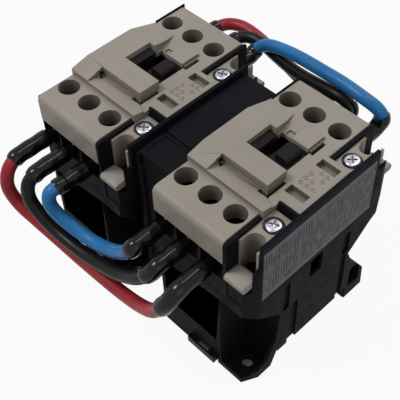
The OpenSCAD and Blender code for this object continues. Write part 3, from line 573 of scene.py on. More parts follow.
def smooth(piece: Piece, angle: float) -> Piece:
    """Shades a piece smooth except over sharp edges.

    Args:
        piece: the piece.
        angle: edges sharper than this many degrees stay sharp.

    Returns:
        The piece.
    """
    mesh = piece.data
    mesh.polygons.foreach_set("use_smooth", [True] * len(mesh.polygons))
    mesh.set_sharp_from_angle(angle=math.radians(angle))
    return piece


def bevelled(piece: Piece, angle: float, width: float, shading: float) -> Piece:
    """Rounds a piece's sharp edges and shades it.

    Args:
        piece: the piece.
        angle: edges sharper than this many degrees are rounded.
        width: of the rounding, in metres.
        shading: edges sharper than this many degrees stay sharp to the eye.

    Returns:
        The piece.
    """
    bevel = piece.modifiers.new("edges", "BEVEL")
    bevel.limit_method = "ANGLE"
    bevel.angle_limit = math.radians(angle)
    bevel.width = width
    bevel.segments = EDGE_SEGMENTS
    return smooth(applied(piece), shading)


def read(meshes: Iterable[Mesh]) -> Shell:
    """A bmesh that holds the given meshes.

    Args:
        meshes: the meshes, which stay.

    Returns:
        The bmesh.
    """
    body = bmesh.new()
    for mesh in meshes:
        body.from_mesh(mesh)
    return body


def write(body: Shell, mesh: Mesh) -> Mesh:
    """Writes a bmesh to a mesh and frees it.

    Args:
        body: the bmesh.
        mesh: the mesh that is overwritten.

    Returns:
        The mesh.
    """
    body.to_mesh(mesh)
    body.free()
    return mesh


def outward(body: Shell) -> Shell:
    """Turns a bmesh's faces outwards."""
    bmesh.ops.recalc_face_normals(body, faces=body.faces)
    return body


def from_bmesh(name: str, body: Shell) -> Piece:
    """Makes an object of a bmesh, with its faces turned outwards."""
    return new_piece(name, write(outward(body), bpy.data.meshes.new(name)))


def gather(parts: Iterable[Shell], target: Shell) -> Shell:
    """Adds closed shells to one bmesh and frees them.

    Args:
        parts: the shells.
        target: the bmesh that grows.

    Returns:
        The target.
    """
    for part in parts:
        mesh = write(part, bpy.data.meshes.new("part"))
        target.from_mesh(mesh)
        bpy.data.meshes.remove(mesh)
    return target


def merge_flat(source: Mesh, target: Mesh) -> None:
    """Merges a mesh's doubles and turns its flat areas into single faces.

    Args:
        source: the mesh that is read.
        target: the mesh that is written, which may be the same.
    """
    body = read([source])
    bmesh.ops.remove_doubles(body, verts=body.verts, dist=MERGE_DISTANCE)
    bmesh.ops.dissolve_limit(body, angle_limit=FLAT_ANGLE, verts=body.verts, edges=body.edges,
                             use_dissolve_boundaries=False)
    write(body, target)


def circle(sides: int) -> list[Span]:
    """Cosine and sine of evenly spaced turns."""
    return [(math.cos(math.tau * k / sides), math.sin(math.tau * k / sides)) for k in range(sides)]


def extruded(outline: list[Span], low: float, high: float, axes: str = "xyz") -> Shell:
    """A straight prism with flat ends.

    Args:
        outline: corners of the section, in order.
        low: start of the prism along the third axis.
        high: end of the prism.
        axes: which axes the section's two numbers and the length stand for.

    Returns:
        A closed bmesh.
    """
    order = ["xyz".index(axis) for axis in axes]
    body = bmesh.new()
    first, last = [], []
    for ring, along in ((first, low), (last, high)):
        for pair in outline:
            place = [0.0, 0.0, 0.0]
            for axis, value in zip(order, (*pair, along)):
                place[axis] = value
            ring.append(body.verts.new(place))
    body.faces.new(first)
    body.faces.new(list(reversed(last)))
    for k, corner in enumerate(first):
        after = (k + 1) % len(first)
        body.faces.new((first[after], corner, last[k], last[after]))
    return outward(body)


def holed_plate(edge: list[Span], hole: list[Span], heights: Span) -> Shell:
    """A flat plate with one hole.

    Args:
        edge: points round the outside.
        hole: as many points round the hole, each across from its fellow on the outside.
        heights: z of the underside and of the top.

    Returns:
        A closed bmesh.
    """
    body = bmesh.new()
    low, high = ([(body.verts.new((*out, height)), body.verts.new((*into, height)))
                  for out, into in zip(edge, hole)] for height in heights)
    for k, ((low_out, low_in), (high_out, high_in)) in enumerate(zip(low, high)):
        after = (k + 1) % len(low)
        (low_out_2, low_in_2), (high_out_2, high_in_2) = low[after], high[after]
        body.faces.new((low_out, low_out_2, high_out_2, high_out))
        body.faces.new((low_in_2, low_in, high_in, high_in_2))
        body.faces.new((high_out, high_out_2, high_in_2, high_in))
        body.faces.new((low_out_2, low_out, low_in, low_in_2))
    return body


def lathe(profile: Iterable[Span], sides: int) -> Shell:
    """A turned solid about Z.

    Args:
        profile: (radius, height) pairs from the bottom to the top, starting and ending at radius 0.
        sides: faces round it.

    Returns:
        A closed bmesh.
    """
    body = bmesh.new()
    rings = [[body.verts.new((radius * c, radius * s, height))
              for c, s in (circle(sides) if radius > 0 else circle(1))] for radius, height in profile]
    for low, high in zip(rings, rings[1:]):
        for k in range(sides):
            after = (k + 1) % sides
            corners = (low[k % len(low)], low[after % len(low)],
                       high[after % len(high)], high[k % len(high)])
            body.faces.new(tuple(dict.fromkeys(corners)))
    return body


def box_bmesh(low: Point, high: Point, shift: float = 0.0) -> Shell:
    """A box between two corners.

    Args:
        low: the lowest corner.
        high: the highest corner.
        shift: how far both are moved along X.

    Returns:
        A closed bmesh.
    """
    start, end = (Vector((x + shift, y, z)) for x, y, z in (low, high))
    body = bmesh.new()
    bmesh.ops.create_cube(body, size=1.0)
    bmesh.ops.scale(body, vec=end - start, verts=body.verts)
    bmesh.ops.translate(body, vec=(end + start) / 2, verts=body.verts)
    return body


def carve(piece: Piece, cutters: Iterable[Shell], crossing: bool = False) -> Piece:
    """Cuts shells out of a piece, one at a time.

    Args:
        piece: the piece.
        cutters: the shells, freed here.
        crossing: True if the parts of one shell run through each other.

    Returns:
        The piece.
    """
    for shell in cutters:
        cutter = from_bmesh("cutter", shell)
        cut = piece.modifiers.new("cut", "BOOLEAN")
        cut.operation = "DIFFERENCE"
        cut.solver = "EXACT"
        cut.use_self = crossing
        cut.object = cutter
        applied(piece)
        bpy.data.objects.remove(cutter)
    return piece


def softened_copy(node: str, radius: float, cutters: Iterable[Shell] = (),
                  extras: Iterable[Shell] = ()) -> Piece:
    """A copy of a CAD node whose edges are rounded as a mould's are.

    Args:
        node: the CAD node.
        radius: edge radius in metres.
        cutters: shells that are cut out of the copy.
        extras: shells that are added to it.

    Returns:
        The new piece.
    """
    piece = new_piece(f"{node}_moulding", bpy.data.meshes.new(node))
    merge_flat(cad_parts[node].data, piece.data)
    if cutters:
        carve(piece, cutters)
        merge_flat(piece.data, piece.data)
    if extras:
        write(gather(extras, read([piece.data])), piece.data)
    piece.data.polygons.foreach_set("use_smooth", [True] * len(piece.data.polygons))
    bevel = piece.modifiers.new("edges", "BEVEL")
    bevel.limit_method = "ANGLE"
    bevel.angle_limit = MOULD_EDGE_ANGLE
    bevel.width = radius
    bevel.segments = EDGE_SEGMENTS
    bevel.profile = MOULD_EDGE_PROFILE
    bevel.use_clamp_overlap = False
    bevel.loop_slide = False
    bevel.miter_outer = "MITER_ARC"
    normals = piece.modifiers.new("normals", "WEIGHTED_NORMAL")
    normals.keep_sharp = False
    normals.weight = FACE_WEIGHT
    return applied(piece)


class Maker(Graph):
    """A geometry node tree with named inputs, which ends in real geometry of one finish."""

    def __init__(self, name: str, inputs: dict[str, tuple[str, float | None]], output: str) -> None:
        """Starts a tree.

        Args:
            name: its name.
            inputs: kind of socket and default for each input.
            output: name of the geometry that comes out.
        """
        super().__init__(bpy.data.node_groups.new(name, "GeometryNodeTree"))
        for label, (kind, default) in (inputs | {"Finish": ("Material", None)}).items():
            socket = self.tree.interface.new_socket(label, in_out="INPUT",
                                                    socket_type=f"NodeSocket{kind}")
            if default is not None:
                socket.default_value = default
        self.tree.interface.new_socket(output, in_out="OUTPUT", socket_type="NodeSocketGeometry")
        self.given = self.add("NodeGroupInput").outputs

    def end(self, geometry: Socket) -> None:
        """Ends the tree in Realize Instances and Set Material.

        Args:
            geometry: what the tree has made.
        """
        real = self.add("GeometryNodeRealizeInstances", {0: geometry}).outputs[0]
        painted = self.add("GeometryNodeSetMaterial",
                           {"Geometry": real, "Material": self.given["Finish"]})
        self.add("NodeGroupOutput", {0: painted.outputs[0]})

    def make(self, name: str, points: list[Point], edges: list[tuple[int, int]],
             values: dict[str, object]) -> Piece:
        """Runs the tree on points and keeps the result as plain mesh.

        Args:
            name: the new piece's name.
            points: places in metres.
            edges: pairs of points that are joined.
            values: what each named input gets.

        Returns:
            The piece.
        """
        mesh = bpy.data.meshes.new(name)
        mesh.from_pydata(points, edges, [])
        piece = new_piece(name, mesh)
        maker = piece.modifiers.new(self.tree.name, "NODES")
        maker.node_group = self.tree
        for item in self.tree.interface.items_tree:
            if item.in_out == "INPUT" and item.name in values:
                maker[item.identifier] = values[item.name]
        return applied(piece)


@dataclass
class Mouldings:
    """The moulded bodies of one contactor, with softened edges."""

    side: Side
    edge: float = 0.22 * MM
    small_edge: float = 0.16 * MM
    window_x: Span = (9.9 * MM, 18.0 * MM)
    window_rows: tuple[float, ...] = (-5.7 * MM, 9.9 * MM)
    window_half: float = 1.9 * MM
    window_depth: float = 2.6 * MM
    recess: tuple[float, float, float, float] = (-7.1 * MM, -3.6 * MM, 11.9 * MM, 14.4 * MM)
    recess_depth: float = 0.7 * MM
    strip_x: Span = (-13.2 * MM, 13.0 * MM)
    strip_low: float = 78.2 * MM
    strip_edge: float = 80.1 * MM
    strip_y: Span = (-21.2 * MM, -12.52 * MM)
    pad_x: Span = (-3.3 * MM, 4.3 * MM)
    pad_y: Point = (10.6 * MM, 19.0 * MM, 19.8 * MM)
    pad_top: float = 79.5 * MM
    cover_top: float = 78.0 * MM
    plate_top: float = 82.0 * MM
    root: float = 0.5 * MM
    over: float = 1.0 * MM
    outer_x: float = -23.0 * MM
    slope_end_x: float = -6.0 * MM
    slope_y: Span = (8.9 * MM, 21.3 * MM)
    slope_x: Point = (-22.46 * MM, -8.5 * MM, -11.2 * MM)
    slope_gap: float = 0.03 * MM
    bar_columns: tuple[Span, ...] = ((10.6 * MM, 12.5 * MM), (13.3 * MM, 15.0 * MM),
                                     (15.8 * MM, 17.6 * MM))
    bar_rows: int = 4
    bar_start: float = -1.6 * MM
    bar_pitch: float = 2.5 * MM
    bar_y: tuple[Span, Span] = ((0.0, 0.5 * MM), (0.9 * MM, 1.35 * MM))
    bar_z: Span = (-0.1 * MM, 0.3 * MM)
    wall_cut: tuple[Point, Point] = ((20.95 * MM, 27.2 * MM, 69.2 * MM), (23 * MM, 38 * MM, 82 * MM))
    side_wall: tuple[Point, Point] = ((-22.5 * MM, 21.4 * MM, 64 * MM),
                                      (-21.97 * MM, 36.8 * MM, 78.7 * MM))
    flag_x: Span = (-2.1 * MM, 3.4 * MM)
    flag_y: Span = (1.0 * MM, 8.4 * MM)
    flag_z: Span = (76.4 * MM, 79.9 * MM)
    flag_bevel: float = 0.9 * MM
    flag_ease: float = 0.27 * MM

    def window_cutters(self) -> list[Shell]:
        """What is cut from the cover's two windows, its small square recess and its raised plate.

        Returns:
            Closed bmeshes.
        """
        c, top, low = self.side.centre, self.plate_top, self.cover_top
        shells = [box_bmesh((self.window_x[0], y - self.window_half, low - self.window_depth),
                            (self.window_x[1], y + self.window_half, low + self.over), c)
                  for y in self.window_rows]
        left, right, near, far = self.recess
        shells.append(box_bmesh((left, near, low - self.recess_depth), (right, far, low + self.over), c))
        start, end = self.slope_y
        edge, foot = self.strip_y
        left, right = self.strip_x
        above = top + self.over
        for line, x0, x1 in (
                ([(start, top), (end, low + 0.02 * MM), (end, above), (start, above)],
                 self.outer_x, self.slope_end_x),
                ([(edge, self.strip_edge), (foot, self.strip_low), (foot, above), (edge, above)],
                 left, right),
                ([(edge, self.strip_edge), (foot, top), (foot, above), (edge, above)],
                 self.outer_x, left + 0.01 * MM)):
            shells.append(extruded(line, c + x0, c + x1, "yzx"))
        return shells

    def pad(self) -> Shell:
        """The low raised pad between the indicator's well and the line-side holes.

        Returns:
            A closed bmesh.
        """
        c, floor = self.side.centre, self.cover_top - self.root
        near, far, foot = self.pad_y
        return extruded([(near, floor), (foot, floor), (far, self.pad_top), (near, self.pad_top)],
                        c + self.pad_x[0], c + self.pad_x[1], "yzx")

    def slope(self) -> Shell:
        """The wedge by which the raised plate runs down to the line-side holes.

        Returns:
            A closed bmesh.
        """
        c, floor, gap = self.side.centre, self.cover_top - self.root, self.slope_gap
        start, end = self.slope_y
        left, right, tip = self.slope_x
        body = extruded([(start, floor), (end, floor), (end, self.cover_top + gap),
                         (start, self.plate_top - gap)], c + left, c + right, "yzx")
        for vert in body.verts:
            if vert.co.y > end - gap and vert.co.x > c + left + gap:
                vert.co.x = c + tip
        return body

    def cover_extras(self) -> list[Shell]:
        """The sloping wedge, the pad and the rows of small raised bars.

        Returns:
            Closed bmeshes.
        """
        low, high = (self.cover_top + z for z in self.bar_z)
        shells = [self.slope(), self.pad()]
        for row in range(self.bar_rows):
            y = self.bar_start + row * self.bar_pitch
            for column, (first, last) in enumerate(self.bar_columns):
                if (row + column) % self.bar_rows == self.bar_rows - 1:
                    continue
                for (near, far), end in zip(self.bar_y, (last, (first + last) / 2)):
                    shells.append(box_bmesh((first, y + near, low), (end, y + far, high),
                                            self.side.centre))
        return shells

    def flag(self) -> Shell:
        """The raised position flag on the carrier.

        Returns:
            A closed bmesh.
        """
        x0, x1 = (self.side.centre + x for x in self.flag_x)
        (y0, y1), (z0, z1), bevel, ease = self.flag_y, self.flag_z, self.flag_bevel, self.flag_ease
        return extruded([(x0, z0), (x1, z0), (x1, z1 - bevel), (x1 - bevel, z1), (x0 + ease, z1),
                         (x0, z1 - ease)], y0, y1, "xzy")

    def build(self, palette: Palette) -> list[Piece]:
        """Replaces each plain moulding by its softened copy.

        Args:
            palette: the finishes.

        Returns:
            The new pieces.
        """
        side, c = self.side.value, self.side.centre
        plan = (("base", Palette.black, self.edge, FRAME_BODY, [], []),
                ("housing", Palette.black, self.small_edge, FRAME_BODY,
                 [box_bmesh(*self.wall_cut, c)], [box_bmesh(*self.side_wall, c)]),
                ("cover", Palette.cream, self.small_edge, FRAME_BODY, self.window_cutters(),
                 self.cover_extras()),
                ("carrier", Palette.carrier, self.small_edge, f"{side}_carrier_set", [], [self.flag()]),
                ("rail_latch", Palette.carrier, self.small_edge, f"{side}_latch", [], []))
        return [palette.fit(softened_copy(f"{side}_{part}", radius, cutters, extras), finish, body,
                            f"{side}_{part}")
                for part, finish, radius, body, cutters, extras in plan]


@dataclass
class AuxShroud:
    """The two cream terminal shrouds of one contactor: seat, U-shaped wall and entry tab."""

    side: Side
    x0: float = 12.35 * MM
    x1: float = 20.95 * MM
    seat_y: Span = (14.15 * MM, 24.6 * MM)
    seat_z: Point = (73.0 * MM, 74.6 * MM, 76.0 * MM)
    screw: Span = (16.5 * MM, 19.5 * MM)
    recess: float = 3.75 * MM
    recess_sides: int = 48
    slot_radius: float = 3.45 * MM
    slot_x: float = 16.62 * MM
    slot_y: float = 28.2 * MM
    slot_sides: int = 14
    wall_lap: float = 1.5 * MM
    wall_y: float = 31.3 * MM
    wall_z: float = 60.6 * MM
    lip_lap: float = 1.2 * MM
    tab_y: float = 38.2 * MM
    tab_top: float = 63.6 * MM
    edge: float = 0.28 * MM

    def holed_slab(self, sign: int) -> Shell:
        """The seat's upper layer with the round recess for the screw head.

        Args:
            sign: -1 for the load side, 1 for the line side.

        Returns:
            A closed bmesh.
        """
        centre, (cx, cy), (y0, y1) = self.side.centre, self.screw, self.seat_y
        turns = sorted([math.tau * k / self.recess_sides for k in range(self.recess_sides)]
                       + [math.atan2(y - cy, x - cx) % math.tau
                          for x in (self.x0, self.x1) for y in (y0, y1)])
        edge, hole = [], []
        for turn in turns:
            c, s = math.cos(turn), math.sin(turn)
            across = ((self.x1 if c > 0 else self.x0) - cx) / c if abs(c) > NO_DIVISION else 1.0
            along = ((y1 if s > 0 else y0) - cy) / s if abs(s) > NO_DIVISION else 1.0
            for line, reach in ((edge, min(across, along)), (hole, self.recess)):
                line.append((centre + cx + c * reach, sign * (cy + s * reach)))
        return holed_plate(edge, hole, self.seat_z[1:])

    def wall_section(self, sign: int) -> list[Span]:
        """Plan of the U-shaped wall, open towards the wire entry.

        Args:
            sign: -1 for the load side, 1 for the line side.

        Returns:
            The plan's corners.
        """
        turns = [math.pi * k / self.slot_sides for k in range(self.slot_sides + 1)]
        back = [(self.slot_x + self.slot_radius * math.cos(turn),
                 self.slot_y - self.slot_radius * math.sin(turn)) for turn in turns]
        inner_y = self.seat_y[1] - self.wall_lap
        outline = [(self.x0, self.wall_y), (self.x0, inner_y), (self.x1, inner_y),
                   (self.x1, self.wall_y), (self.slot_x + self.slot_radius, self.wall_y), *back,
                   (self.slot_x - self.slot_radius, self.wall_y)]
        return [(self.side.centre + x, sign * y) for x, y in outline]

    def shells(self, sign: int) -> list[Shell]:
        """Every shell of one shroud.

        Args:
            sign: -1 for the load side, 1 for the line side.

        Returns:
            Closed bmeshes.
        """
        x0, x1 = self.side.centre + self.x0, self.side.centre + self.x1
        y0, y1 = (sign * y for y in self.seat_y)
        low, middle, top = self.seat_z
        lip = [(self.wall_y - self.lip_lap, self.wall_z), (self.tab_y - 0.8 * MM, self.wall_z),
               (self.tab_y, self.wall_z + 0.8 * MM), (self.tab_y, self.wall_z + 2.3 * MM),
               (self.tab_y - 1.0 * MM, self.wall_z + 3.0 * MM), (self.wall_y, self.tab_top),
               (self.wall_y - self.lip_lap, self.tab_top - 1.4 * MM)]
        return [extruded([(x0, y0), (x1, y0), (x1, y1), (x0, y1)], low, middle),
                self.holed_slab(sign),
                extruded(self.wall_section(sign), self.wall_z, top - 0.01 * MM),
                extruded([(sign * y, z) for y, z in lip], x0, x1, "yzx")]

    def build(self, palette: Palette) -> Piece:
        """Builds both shrouds as one piece.

        Args:
            palette: the finishes.

        Returns:
            The piece.
        """
        body = gather([shell for end in End for shell in self.shells(end.value)], bmesh.new())
        piece = bevelled(from_bmesh(f"{self.side.value}_terminal_shrouds", body), 40, self.edge, 50)
        return palette.fit(piece, Palette.cream, FRAME_BODY, f"{self.side.value}_aux_shrouds")


@dataclass
class Interlock:
    """The block between the contactors, with its slides, rocker and pin."""

    edge: float = 0.25 * MM
    cap_x: float = 8.2 * MM
    cap_y: Span = (-27.95 * MM, -15.35 * MM)
    cap_z: Span = (69.8 * MM, 76.2 * MM)
    panel_margin: float = 2.1 * MM
    panel_inner_margin: float = 1.26 * MM
    panel_depth: float = 0.45 * MM
    bead: Point = (-7.4 * MM, -28.3 * MM, 1.15 * MM)
    bead_low: float = 34.0 * MM
    bead_sides: int = 24
    bead_crown: tuple[Span, ...] = ((1.0, 75.2 * MM), (0.86, 75.8 * MM), (0.5, 76.2 * MM),
                                    (0.0, 76.35 * MM))

    def cap(self) -> list[Shell]:
        """The load-side end of the block, level with the rest, with a framed panel.

        Returns:
            Closed bmeshes.
        """
        x, (y0, y1), (z0, z1) = self.cap_x, self.cap_y, self.cap_z
        margin, floor = self.panel_margin, z1 - self.panel_depth
        near, far = y0 + margin, y1 - self.panel_inner_margin
        return [box_bmesh((-x, y0, z0), (x, y1, floor)),
                box_bmesh((-x, y0, floor), (x, near, z1)),
                box_bmesh((-x, far, floor), (x, y1, z1)),
                box_bmesh((-x, near, floor), (-x + margin, far, z1)),
                box_bmesh((x - margin, near, floor), (x, far, z1))]

    def round_bead(self) -> Shell:
        """The upright bead at the block's load-side corner.

        Returns:
            A closed bmesh.
        """
        x, y, radius = self.bead
        body = lathe([(0, self.bead_low), (radius, self.bead_low),
                      *((radius * share, z) for share, z in self.bead_crown)], self.bead_sides)
        bmesh.ops.translate(body, vec=(x, y, 0), verts=body.verts)
        return body

    def build(self, palette: Palette) -> list[Piece]:
        """Softens the block's mouldings, its slides and its rocker.

        Args:
            palette: the finishes.

        Returns:
            The new pieces.
        """
        plan = (("interlock_body", Palette.black, FRAME_BODY, [*self.cap(), self.round_bead()]),
                ("interlock_lid", Palette.black, FRAME_BODY, []),
                ("interlock_left_slide", Palette.nylon, "left_lock_slide", []),
                ("interlock_right_slide", Palette.nylon, "right_lock_slide", []),
                ("interlock_rocker", Palette.nylon, "lock_rocker", []))
        return [palette.fit(softened_copy(node, self.edge, (), extras), finish, body, node)
                for node, finish, body, extras in plan]


@dataclass
class InnerParts:
    """CAD nodes that keep their shape and only get a finish."""

    side: Side

    def dress(self, palette: Palette) -> int:
        """Paints the inner nodes of one contactor.

        Args:
            palette: the finishes.

        Returns:
            How many nodes it painted.
        """
        plan = {"armature": Palette.magnet, "core": Palette.magnet, "coil_bobbin": Palette.carrier,
                "coil_winding": Palette.winding, "return_springs": Palette.spring,
                "moving_contacts": Palette.copper, "contact_springs": Palette.spring,
                "fixed_contacts": Palette.copper, "coil_terminals": Palette.zinc,
                "latch_spring": Palette.spring}
        for part, finish in plan.items():
            palette.paint(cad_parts[f"{self.side.value}_{part}"], finish)
        return len(plan)


@dataclass
class ScrewSet:
    """Cross-recessed terminal screws of one contactor, placed by a geometry node tree."""

    side: Side
    poles: Point = (-17.4 * MM, -5.9 * MM, 5.6 * MM)
    pole_row: float = 25.7 * MM
    pole_z: Span = (52.5 * MM, 64.35 * MM)
    aux_x: float = 16.5 * MM
    aux_row: float = 19.5 * MM
    aux_z: Span = (56.45 * MM, 76.7 * MM)
    head_radius: float = 3.4 * MM
    aux_head_radius: float = 3.05 * MM
    head_height: float = 2.2 * MM
    head_edge: float = 0.07 * MM
    head_sides: int = 56
    recess_sides: int = 24
    shank_radius: float = 1.75 * MM
    washer: float = 7.0 * MM
    washer_height: float = 1.2 * MM
    washer_edge: float = 0.12 * MM
    washer_room: float = 0.3 * MM
    washer_sides: int = 40
    first_seed: int = 11

    def screw_mesh(self, name: str, radius: float, height: Span) -> Piece:
        """One pan-head screw with its head's top at the origin.

        Args:
            name: the object's name.
            radius: head radius.
            height: z of the shank's end and of the head's top.

        Returns:
            The object.
        """
        # The outline and the recess are shares of the head's radius and height and of the shank.
        r, h, s = radius, self.head_height, self.shank_radius
        length = height[1] - height[0]
        profile = [(0, -length), (s * 0.8, -length), (s, -length + s * 0.3), (s, -h), (r * 0.97, -h),
                   (r, -h + 0.15 * MM), (r, -h * 0.42), (r * 0.965, -h * 0.22), (r * 0.86, -h * 0.07),
                   (r * 0.6, -0.02 * MM), (0, 0)]
        arms = []
        for turn in (0.0, math.pi / 2):
            arm = box_bmesh((-r * 0.6, -r * 0.12, -h * 0.62), (r * 0.6, r * 0.12, h))
            bmesh.ops.rotate(arm, cent=(0, 0, 0), matrix=Matrix.Rotation(turn, 3, "Z"), verts=arm.verts)
            arms.append(arm)
        point = lathe([(0, -h * 0.68), (r * 0.14, -h * 0.68), (r * 0.26, h), (0, h)], self.recess_sides)
        head = from_bmesh(name, lathe(profile, self.head_sides))
        carve(head, [gather([*arms, point], bmesh.new())], crossing=True)
        return bevelled(head, 40, self.head_edge, 40)

    def washer_mesh(self) -> Piece:
        """One square clamping washer, its top at the origin, with a round hole.

        Returns:
            The object.
        """
        half, inner = self.washer / 2, self.shank_radius + self.washer_room
        turns = circle(self.washer_sides)
        edge = [(c * half / max(abs(c), abs(s)), s * half / max(abs(c), abs(s))) for c, s in turns]
        hole = [(c * inner, s * inner) for c, s in turns]
        washer = from_bmesh("washer", holed_plate(edge, hole, (-self.washer_height, 0.0)))
        return bevelled(washer, 50, self.washer_edge, 35)

    @staticmethod
    def placing_tree() -> Maker:
        """A tree that puts one shape on every point, each turned a little differently.

        Returns:
            The tree.
        """
        tree = Maker("placed_fasteners", {"Points": ("Geometry", None), "Shape": ("Object", None),
                                          "Turn": ("Float", math.pi), "Seed": ("Int", 4)}, "Fasteners")
        shape = tree.add("GeometryNodeObjectInfo", {"Object": tree.given["Shape"]})
        random = tree.add("FunctionNodeRandomValue",
                          {3: tree.given["Turn"], "Seed": tree.given["Seed"]}, data_type="FLOAT")
        spin = tree.add("ShaderNodeCombineXYZ", {"Z": random.outputs[1]})
        place = tree.add("GeometryNodeInstanceOnPoints",
                         {"Points": tree.given["Points"], "Instance": shape.outputs["Geometry"],
                          "Rotation": spin.outputs[0]})
        tree.end(place.outputs[0])
        return tree

    def build(self, palette: Palette) -> Piece:
        """Builds the eight screws and six washers as one piece.

        Args:
            palette: the finishes.

        Returns:
            The piece.
        """
        c, tree, seed = self.side.centre, self.placing_tree(), self.first_seed + self.side.sign
        poles = [(c + x, end.value * self.pole_row, self.pole_z[1]) for end in End for x in self.poles]
        aux = [(c + self.aux_x, end.value * self.aux_row, self.aux_z[1]) for end in End]
        seats = [(x, y, z - self.head_height) for x, y, z in poles]
        parts = []
        for name, shape, places, turn, draw in (
                ("pole_screws", self.screw_mesh("pole_screw", self.head_radius, self.pole_z),
                 poles, math.pi, seed),
                ("aux_screws", self.screw_mesh("aux_screw", self.aux_head_radius, self.aux_z),
                 aux, math.pi, seed + 3),
                ("pole_washers", self.washer_mesh(), seats, 0.0, seed)):
            parts.append(tree.make(name, places, [], {"Shape": shape, "Turn": turn, "Seed": draw,
                                                      "Finish": palette.material(Palette.zinc)}))
            bpy.data.objects.remove(shape)
        mesh = write(read(part.data for part in parts), bpy.data.meshes.new("screws"))
        for part in parts:
            bpy.data.objects.remove(part)
        piece = smooth(new_piece(f"{self.side.value}_terminal_fasteners", mesh), 40)
        return palette.fit(piece, Palette.zinc, FRAME_BODY, f"{self.side.value}_terminal_screws")


@dataclass
class LinkWire:
    """One insulated link wire along its route, with its two shrink sleeves."""

    node: str
    end: End
    finish: Insulation
    sleeves: Span
    route: list[Point]
    radius: float = 2.6 * MM
    sides: int = 30
    steps: int = 8
    lead: Point = (39.0 * MM, 41.5 * MM, 44.5 * MM)
    height: float = 60.0 * MM
    sleeve_radius: float = 3.35 * MM
    sleeve_rings_count: int = 30
    sleeve_room: float = 0.03 * MM
    sleeve_wall: float = 0.12 * MM
    sleeve_lip: float = 0.12 * MM
    lip_length: float = 0.5 * MM
    entry: float = 35.2 * MM
    entry_radius: float = 2.24 * MM
    mouth: float = 37.3 * MM
    rise: float = 1.1 * MM
    swell: float = 0.045
    taper_start: float = 0.9
    taper_end: float = 0.35 * MM

    def path(self) -> list[Vector]:
        """The wire's centre line: a smooth curve through the route, with straight ends.

        Returns:
            Its points.
        """
        route = [Vector(p) * MM for p in self.route]
        points: list[Vector] = []
        for i in range(len(route) - 1):
            a, b = route[max(i - 1, 0)], route[i]
            c, d = route[i + 1], route[min(i + 2, len(route) - 1)]
            for k in range(self.steps):
                t = k / self.steps
                points.append(0.5 * (2 * b + (c - a) * t + (2 * a - 5 * b + 4 * c - d) * t * t
                                     + (3 * b - a - 3 * c + d) * t ** 3))
        points.append(route[-1])
        head, tail = ([Vector((point.x, self.end.value * y, self.height)) for y in self.lead]
                      for point in (points[0], points[-1]))
        return head + points + tail[::-1]

    @staticmethod
    def tube_tree() -> Maker:
        """A tree that sweeps a ring along a line of vertices.

        Returns:
            The tree.
        """
        tree = Maker("swept_tube", {"Line": ("Geometry", None), "Radius": ("Float", 2.15 * MM),
                                    "Sides": ("Int", 28)}, "Tube")
        curve = tree.add("GeometryNodeMeshToCurve", {"Mesh": tree.given["Line"]})
        ring = tree.add("GeometryNodeCurvePrimitiveCircle",
                        {"Radius": tree.given["Radius"], "Resolution": tree.given["Sides"]})
        sweep = tree.add("GeometryNodeCurveToMesh",
                         {"Curve": curve.outputs["Curve"], "Profile Curve": ring.outputs["Curve"],
                          "Fill Caps": True})
        tree.end(sweep.outputs["Mesh"])
        return tree

    def build(self, palette: Palette, tree: Maker) -> Piece:
        """Sweeps the wire as one piece.

        Args:
            palette: the finishes.
            tree: the tube tree.

        Returns:
            The wire.
        """
        points = [tuple(point) for point in self.path()]
        wire = tree.make(f"{self.node}_insulation", points,
                         [(i, i + 1) for i in range(len(points) - 1)],
                         {"Radius": self.radius, "Sides": self.sides,
                          "Finish": palette.material(self.finish)})
        write(outward(read([wire.data])), wire.data)
        return palette.fit(smooth(wire, 50), self.finish, FRAME_BODY, self.node)

    def sleeve_size(self, want: float, slim: float, length: float) -> float:
        """Radius of a sleeve at one place along it.

        Args:
            want: distance from the sleeve's start.
            slim: length of its slim part inside the chamber's mouth.
            length: length of the part outside.

        Returns:
            The radius.
        """
        radius = self.entry_radius
        if want > slim:
            share = (want - slim) / length
            wave = math.sin(math.pi * 2.6 * share + self.end.value + self.sleeves[0] * 900)
            full = self.sleeve_radius * (1.0 - self.swell * wave ** 2)
            radius += (full - radius) * min((want - slim) / self.rise, 1.0) ** 0.5
            if share > self.taper_start:
                taper = (share - self.taper_start) / (1.0 - self.taper_start)
                radius -= (self.sleeve_radius - self.radius - self.taper_end) * taper ** 2
        if want > slim + length - self.lip_length:
            radius += self.sleeve_lip
        return radius

    def sleeve_rings(self, from_start: bool) -> list[tuple[Vector, Vector, float]]:
        """Centre, heading and radius of each ring of one sleeve.

        Args:
            from_start: True for the sleeve at the route's first end.

        Returns:
            The rings from the body's face outwards.
        """
        path = self.path() if from_start else self.path()[::-1]
        path.insert(0, Vector((path[0].x, self.end.value * self.entry, path[0].z)))
        lengths = [0.0]
        for a, b in zip(path, path[1:]):
            lengths.append(lengths[-1] + (b - a).length)
        length = self.sleeves[0 if from_start else 1]
        slim, count = self.mouth - self.entry, self.sleeve_rings_count
        stations = [0.0, slim * 0.98, slim + 0.25 * MM, slim + 0.6 * MM, slim + self.rise]
        stations += [slim + self.rise + (length - self.rise) * (k + 1) / count for k in range(count)]
        rings = []
        for want in stations:
            i = max(j for j in range(len(path) - 1) if lengths[j] <= want + NO_DIVISION)
            t = (want - lengths[i]) / max(lengths[i + 1] - lengths[i], NO_DIVISION)
            before, behind = path[max(i - 1, 0)], path[min(i + 2, len(path) - 1)]
            heading = (path[i + 1] - before).normalized().lerp((behind - path[i]).normalized(), t)
            rings.append((path[i].lerp(path[i + 1], t), heading.normalized(),
                          self.sleeve_size(want, slim, length)))
        return rings

